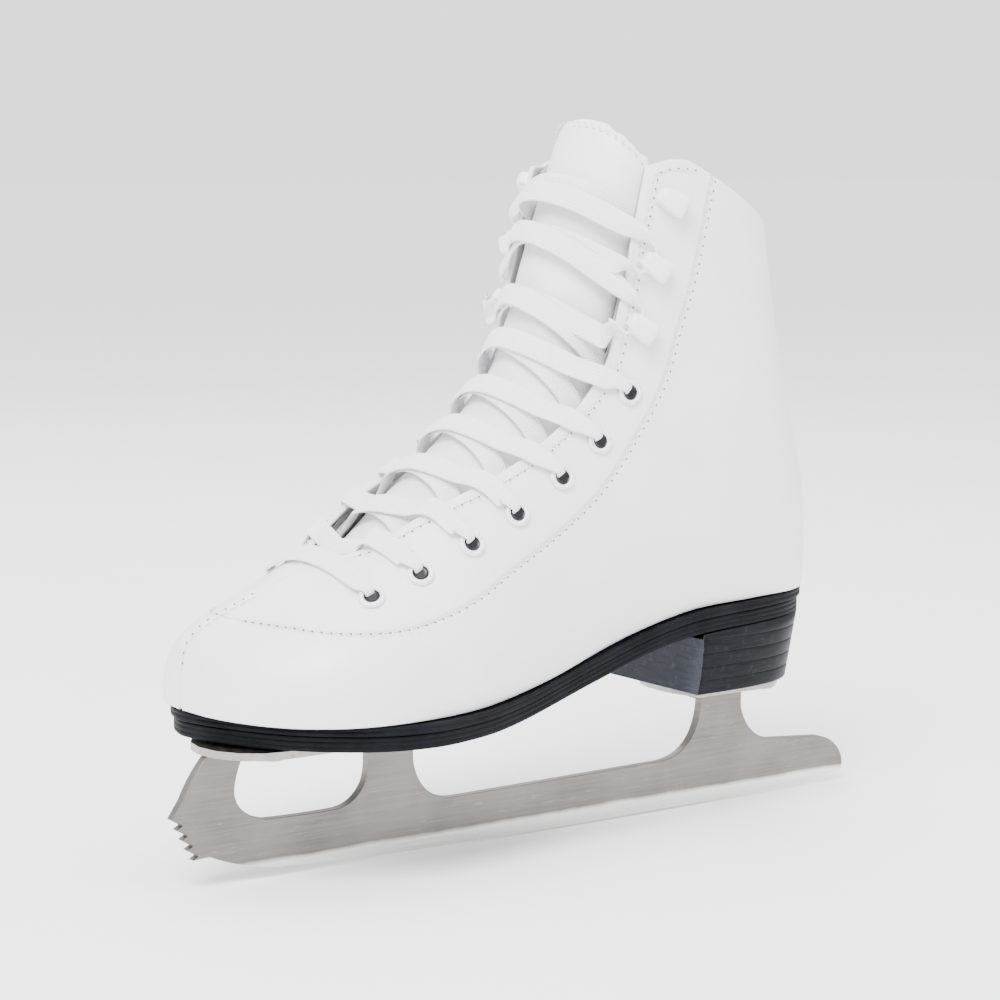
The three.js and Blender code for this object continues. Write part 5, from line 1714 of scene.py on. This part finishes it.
class SKATE_OT_hooks(bpy.types.Operator):
    """Set the six lace hooks and their rivets"""

    bl_idname = "skate.hooks"
    bl_label = "Lace hooks"

    def execute(self, context):
        seats = [seat_on(*hook, side) for hook in HOOKS for _, side in SIDES]
        piece = fitted("lace_hooks", seats, hook_template(), finish_of("enamel"))
        names = [f"lace_hook_{name}_{i + 1}" for name, _ in SIDES for i in range(len(HOOKS))]
        finish_piece(piece, "boot", replaces=names)
        inner = [(p - n * (LINING_BOTTOM + 1.0), n, t) for p, n, t in seats]
        template = rivet_template("hook_rivet_shape", 3.4, 1.3, LINING_BOTTOM + 2.7, 0.8)
        rivets = fitted("hook_rivets", inner, template, finish_of("rivet"))
        names = [f"hook_rivet_{name}_{i + 1}" for name, _ in SIDES for i in range(len(HOOKS))]
        finish_piece(rivets, "boot", replaces=names)
        return {"FINISHED"}


class SKATE_OT_blade_rivets(bpy.types.Operator):
    """Set the ten rivets that hold the blade's plates"""

    bl_idname = "skate.blade_rivets"
    bl_label = "Blade rivets"

    def execute(self, context):
        groups = (("sole_plate_rivet", 6), ("heel_plate_rivet", 4))
        for prefix, count in groups:
            names = [f"{prefix}_{i + 1}" for i in range(count)]
            seats, length = [], 0.0
            for name in names:
                low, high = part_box(name)
                middle = (low + high) / 2
                place = [middle.x / MM + HEEL_SEAT[0], middle.y / MM, low.z / MM + HEEL_SEAT[2] + 1.5]
                seats.append((place, (0, 0, 1), (1, 0, 0)))
                length = (high.z - low.z) / MM - 1.5
            template = rivet_template(f"{prefix}_shape", 4.15, 1.9, length)
            piece = fitted(f"{prefix}s", seats, template, finish_of("rivet"))
            finish_piece(piece, "boot", replaces=names)
        return {"FINISHED"}


class SKATE_OT_lace(bpy.types.Operator):
    """Lace the boot with one flat braid"""

    bl_idname = "skate.lace"
    bl_label = "Lace"

    def execute(self, context):
        finish_piece(lace_mesh("flat_lace"), "boot", finish_of("braid"), ["lace"])
        return {"FINISHED"}


class SKATE_OT_tongue(bpy.types.Operator):
    """Make the padded tongue and its lining"""

    bl_idname = "skate.tongue"
    bl_label = "Tongue"

    def execute(self, context):
        s = context.scene.skate_tongue
        pad = tongue_slab("tongue_pad", TONGUE_TOP + 0.2, TONGUE_THICK - 1.9, 0.8)
        smoothed(puffed(pad, s.voxel, s.swell))
        for key in ("edge", "line"):
            store_values(pad.data, key, np.full(len(pad.data.vertices), PLAIN))
        finish_piece(pad, "tongue", finish_of("leather"), ["tongue_cover", "tongue_foam"])
        back = tongue_slab(
            "tongue_back", TONGUE_TOP + TONGUE_THICK - 1.3, 1.1, 4.5, rows=80, columns=40, f1=0.965)
        finish_piece(back, "tongue", finish_of("lining"), ["tongue_lining"])
        return {"FINISHED"}


class SKATE_OT_sole(bpy.types.Operator):
    """Make the midsole and the outsole with their fine edge lines"""

    bl_idname = "skate.sole"
    bl_label = "Sole"

    def execute(self, context):
        top = -0.05
        welt = [
            (-1.2, top, 0), (-0.3, top, 0), (0.0, top - 0.3, 0), (0.05, -1.15, 0), (-0.3, -1.3, 1),
            (-0.3, -1.5, 1), (0.05, -1.65, 0), (0.0, -MIDSOLE_THICK + 0.3, 0),
            (-0.3, -MIDSOLE_THICK, 0), (-1.2, -MIDSOLE_THICK, 0),
        ]
        low = -MIDSOLE_THICK - GAP
        sole = [(-2.4, low, 0), (-1.3, low, 0), (-1.0, low - 0.3, 0)]
        for line in (1.5, 3.2):
            sole += [
                (-0.95, low - line + 0.15, 0), (-1.3, low - line, 1), (-0.95, low - line - 0.15, 0),
            ]
        sole += [
            (-1.0, low - OUTSOLE_THICK + 0.5, 0), (-1.4, low - OUTSOLE_THICK + 0.1, 0),
            (-2.4, low - OUTSOLE_THICK, 0),
        ]
        for name, edge, node in (("welt", welt, "midsole"), ("sole", sole, "outsole")):
            piece = sole_slab(name, edge)
            finish_piece(piece, "boot", finish_of("rubber"), [node])
        return {"FINISHED"}


class SKATE_OT_heel(bpy.types.Operator):
    """Make the layered heel"""

    bl_idname = "skate.heel"
    bl_label = "Heel"

    def execute(self, context):
        finish_piece(heel_piece("stacked_heel"), "boot", replaces=["heel"])
        return {"FINISHED"}


class SKATE_OT_blade(bpy.types.Operator):
    """Make the ground steel blade with its toe picks"""

    bl_idname = "skate.blade"
    bl_label = "Blade"

    def execute(self, context):
        piece = blade_piece("runner")
        finish_piece(piece, "boot", finish_of("blade"), ["blade"])
        return {"FINISHED"}


class SKATE_OT_inner_parts(bpy.types.Operator):
    """Finish the plates, stiffeners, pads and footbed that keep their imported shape"""

    bl_idname = "skate.inner_parts"
    bl_label = "Plates and inner parts"

    def execute(self, context):
        groups = {
            "plate": ["sole_plate", "heel_plate"],
            "board": ["toe_puff", "heel_counter", "insole_board"],
            "foam": ["ankle_pad_left", "ankle_pad_right"],
            "lining": ["footbed", "facing_reinforcement_left", "facing_reinforcement_right"],
        }
        for finish, names in groups.items():
            for name in names:
                slots = NODES[name].material_slots
                if not slots:
                    raise RuntimeError(f"{name} has no material slot")
                for slot in slots:
                    slot.material = finish_of(finish)
        return {"FINISHED"}


def lay_floor():
    """A wide pale floor just under the running edge."""
    ground = -HEEL_SEAT[2] * MM - FLOOR_DROP
    corners = [(x, y, ground) for x, y in ((-1, -1), (1, -1), (1, 1), (-1, 1))]
    corners = [(x * FLOOR_REACH, y * FLOOR_REACH, z) for x, y, z in corners]
    mesh = bpy.data.meshes.new("floor")
    mesh.from_pydata(corners, [], [(0, 1, 2, 3)])
    floor = new_object("floor", mesh)
    floor.data.materials.append(finish_of("floor"))


def hang_light(name, place, size, power):
    """A round soft light that faces the skate."""
    light = bpy.data.lights.new(name, "AREA")
    light.shape = "DISK"
    light.size = size
    light.energy = power
    lamp = new_object(name, light)
    lamp.location = place
    lamp.rotation_euler = (Vector(place) - LIGHT_AIM).to_track_quat("Z", "Y").to_euler()


def place_camera(focal_length, turn, pitch):
    """The camera, turned round the skate and tipped towards the floor."""
    lens = bpy.data.cameras.new("camera")
    lens.lens = focal_length
    lens.sensor_width = 36
    lens.clip_start = 0.02
    back = Vector((
        math.sin(turn) * math.cos(pitch), -math.cos(turn) * math.cos(pitch), math.sin(pitch),
    ))
    camera = new_object("camera", lens)
    camera.location = CAMERA_PLACE
    camera.rotation_euler = back.to_track_quat("Z", "Y").to_euler()
    return camera


class SKATE_OT_stage(bpy.types.Operator):
    """Lay the pale floor, set the lights and place the camera"""

    bl_idname = "skate.stage"
    bl_label = "Stage"

    def execute(self, context):
        s = context.scene.skate_stage
        lay_floor()
        lights = (
            ("key", (-1.1, -0.7, 1.5), 1.0, s.key_power),
            ("fill", (1.1, -0.9, 0.7), 1.2, s.fill_power),
            ("rear", (0.3, 1.2, 1.1), 1.0, s.fill_power),
            ("top", (0.0, 0.0, 1.6), 1.4, s.fill_power * 1.6),
        )
        for light in lights:
            hang_light(*light)
        air = bpy.data.worlds.new("room")
        air.use_nodes = True
        shade = air.node_tree.nodes["Background"]
        shade.inputs["Color"].default_value = (1, 1, 1, 1)
        shade.inputs["Strength"].default_value = s.air
        context.scene.world = air
        context.scene.camera = place_camera(s.lens, s.turn, s.pitch)
        return {"FINISHED"}


class SKATE_PT_panel(bpy.types.Panel):
    """Sidebar panel that lists the skate's pieces"""

    bl_idname = "SKATE_PT_panel"
    bl_label = "Figure skate"
    bl_space_type = "VIEW_3D"
    bl_region_type = "UI"
    bl_category = "Skate"

    def draw(self, context):
        layout = self.layout
        for settings in (context.scene.skate_upper, context.scene.skate_tongue,
                         context.scene.skate_stage):
            box = layout.box()
            for name in settings.__annotations__:
                box.prop(settings, name)
        for operator in OPERATORS:
            layout.operator(operator.bl_idname)


SETTINGS = {
    "skate_upper": SkateUpperSettings,
    "skate_tongue": SkateTongueSettings,
    "skate_stage": SkateStageSettings,
}
OPERATORS = (
    SKATE_OT_stage,
    SKATE_OT_quarters,
    SKATE_OT_lining,
    SKATE_OT_backstay,
    SKATE_OT_tongue,
    SKATE_OT_stitching,
    SKATE_OT_eyelets,
    SKATE_OT_hooks,
    SKATE_OT_blade_rivets,
    SKATE_OT_lace,
    SKATE_OT_sole,
    SKATE_OT_heel,
    SKATE_OT_blade,
    SKATE_OT_inner_parts,
)
CLASSES = (*SETTINGS.values(), *OPERATORS, SKATE_PT_panel)


def register():
    for cls in CLASSES:
        bpy.utils.register_class(cls)
    for name, settings in SETTINGS.items():
        setattr(bpy.types.Scene, name, bpy.props.PointerProperty(type=settings))


def unregister():
    for name in SETTINGS:
        delattr(bpy.types.Scene, name)
    for cls in reversed(CLASSES):
        bpy.utils.unregister_class(cls)


def main():
    register()
    for operator in OPERATORS:
        group, name = operator.bl_idname.split(".")
        getattr(getattr(bpy.ops, group), name)()


if __name__ == "__main__":
    main()
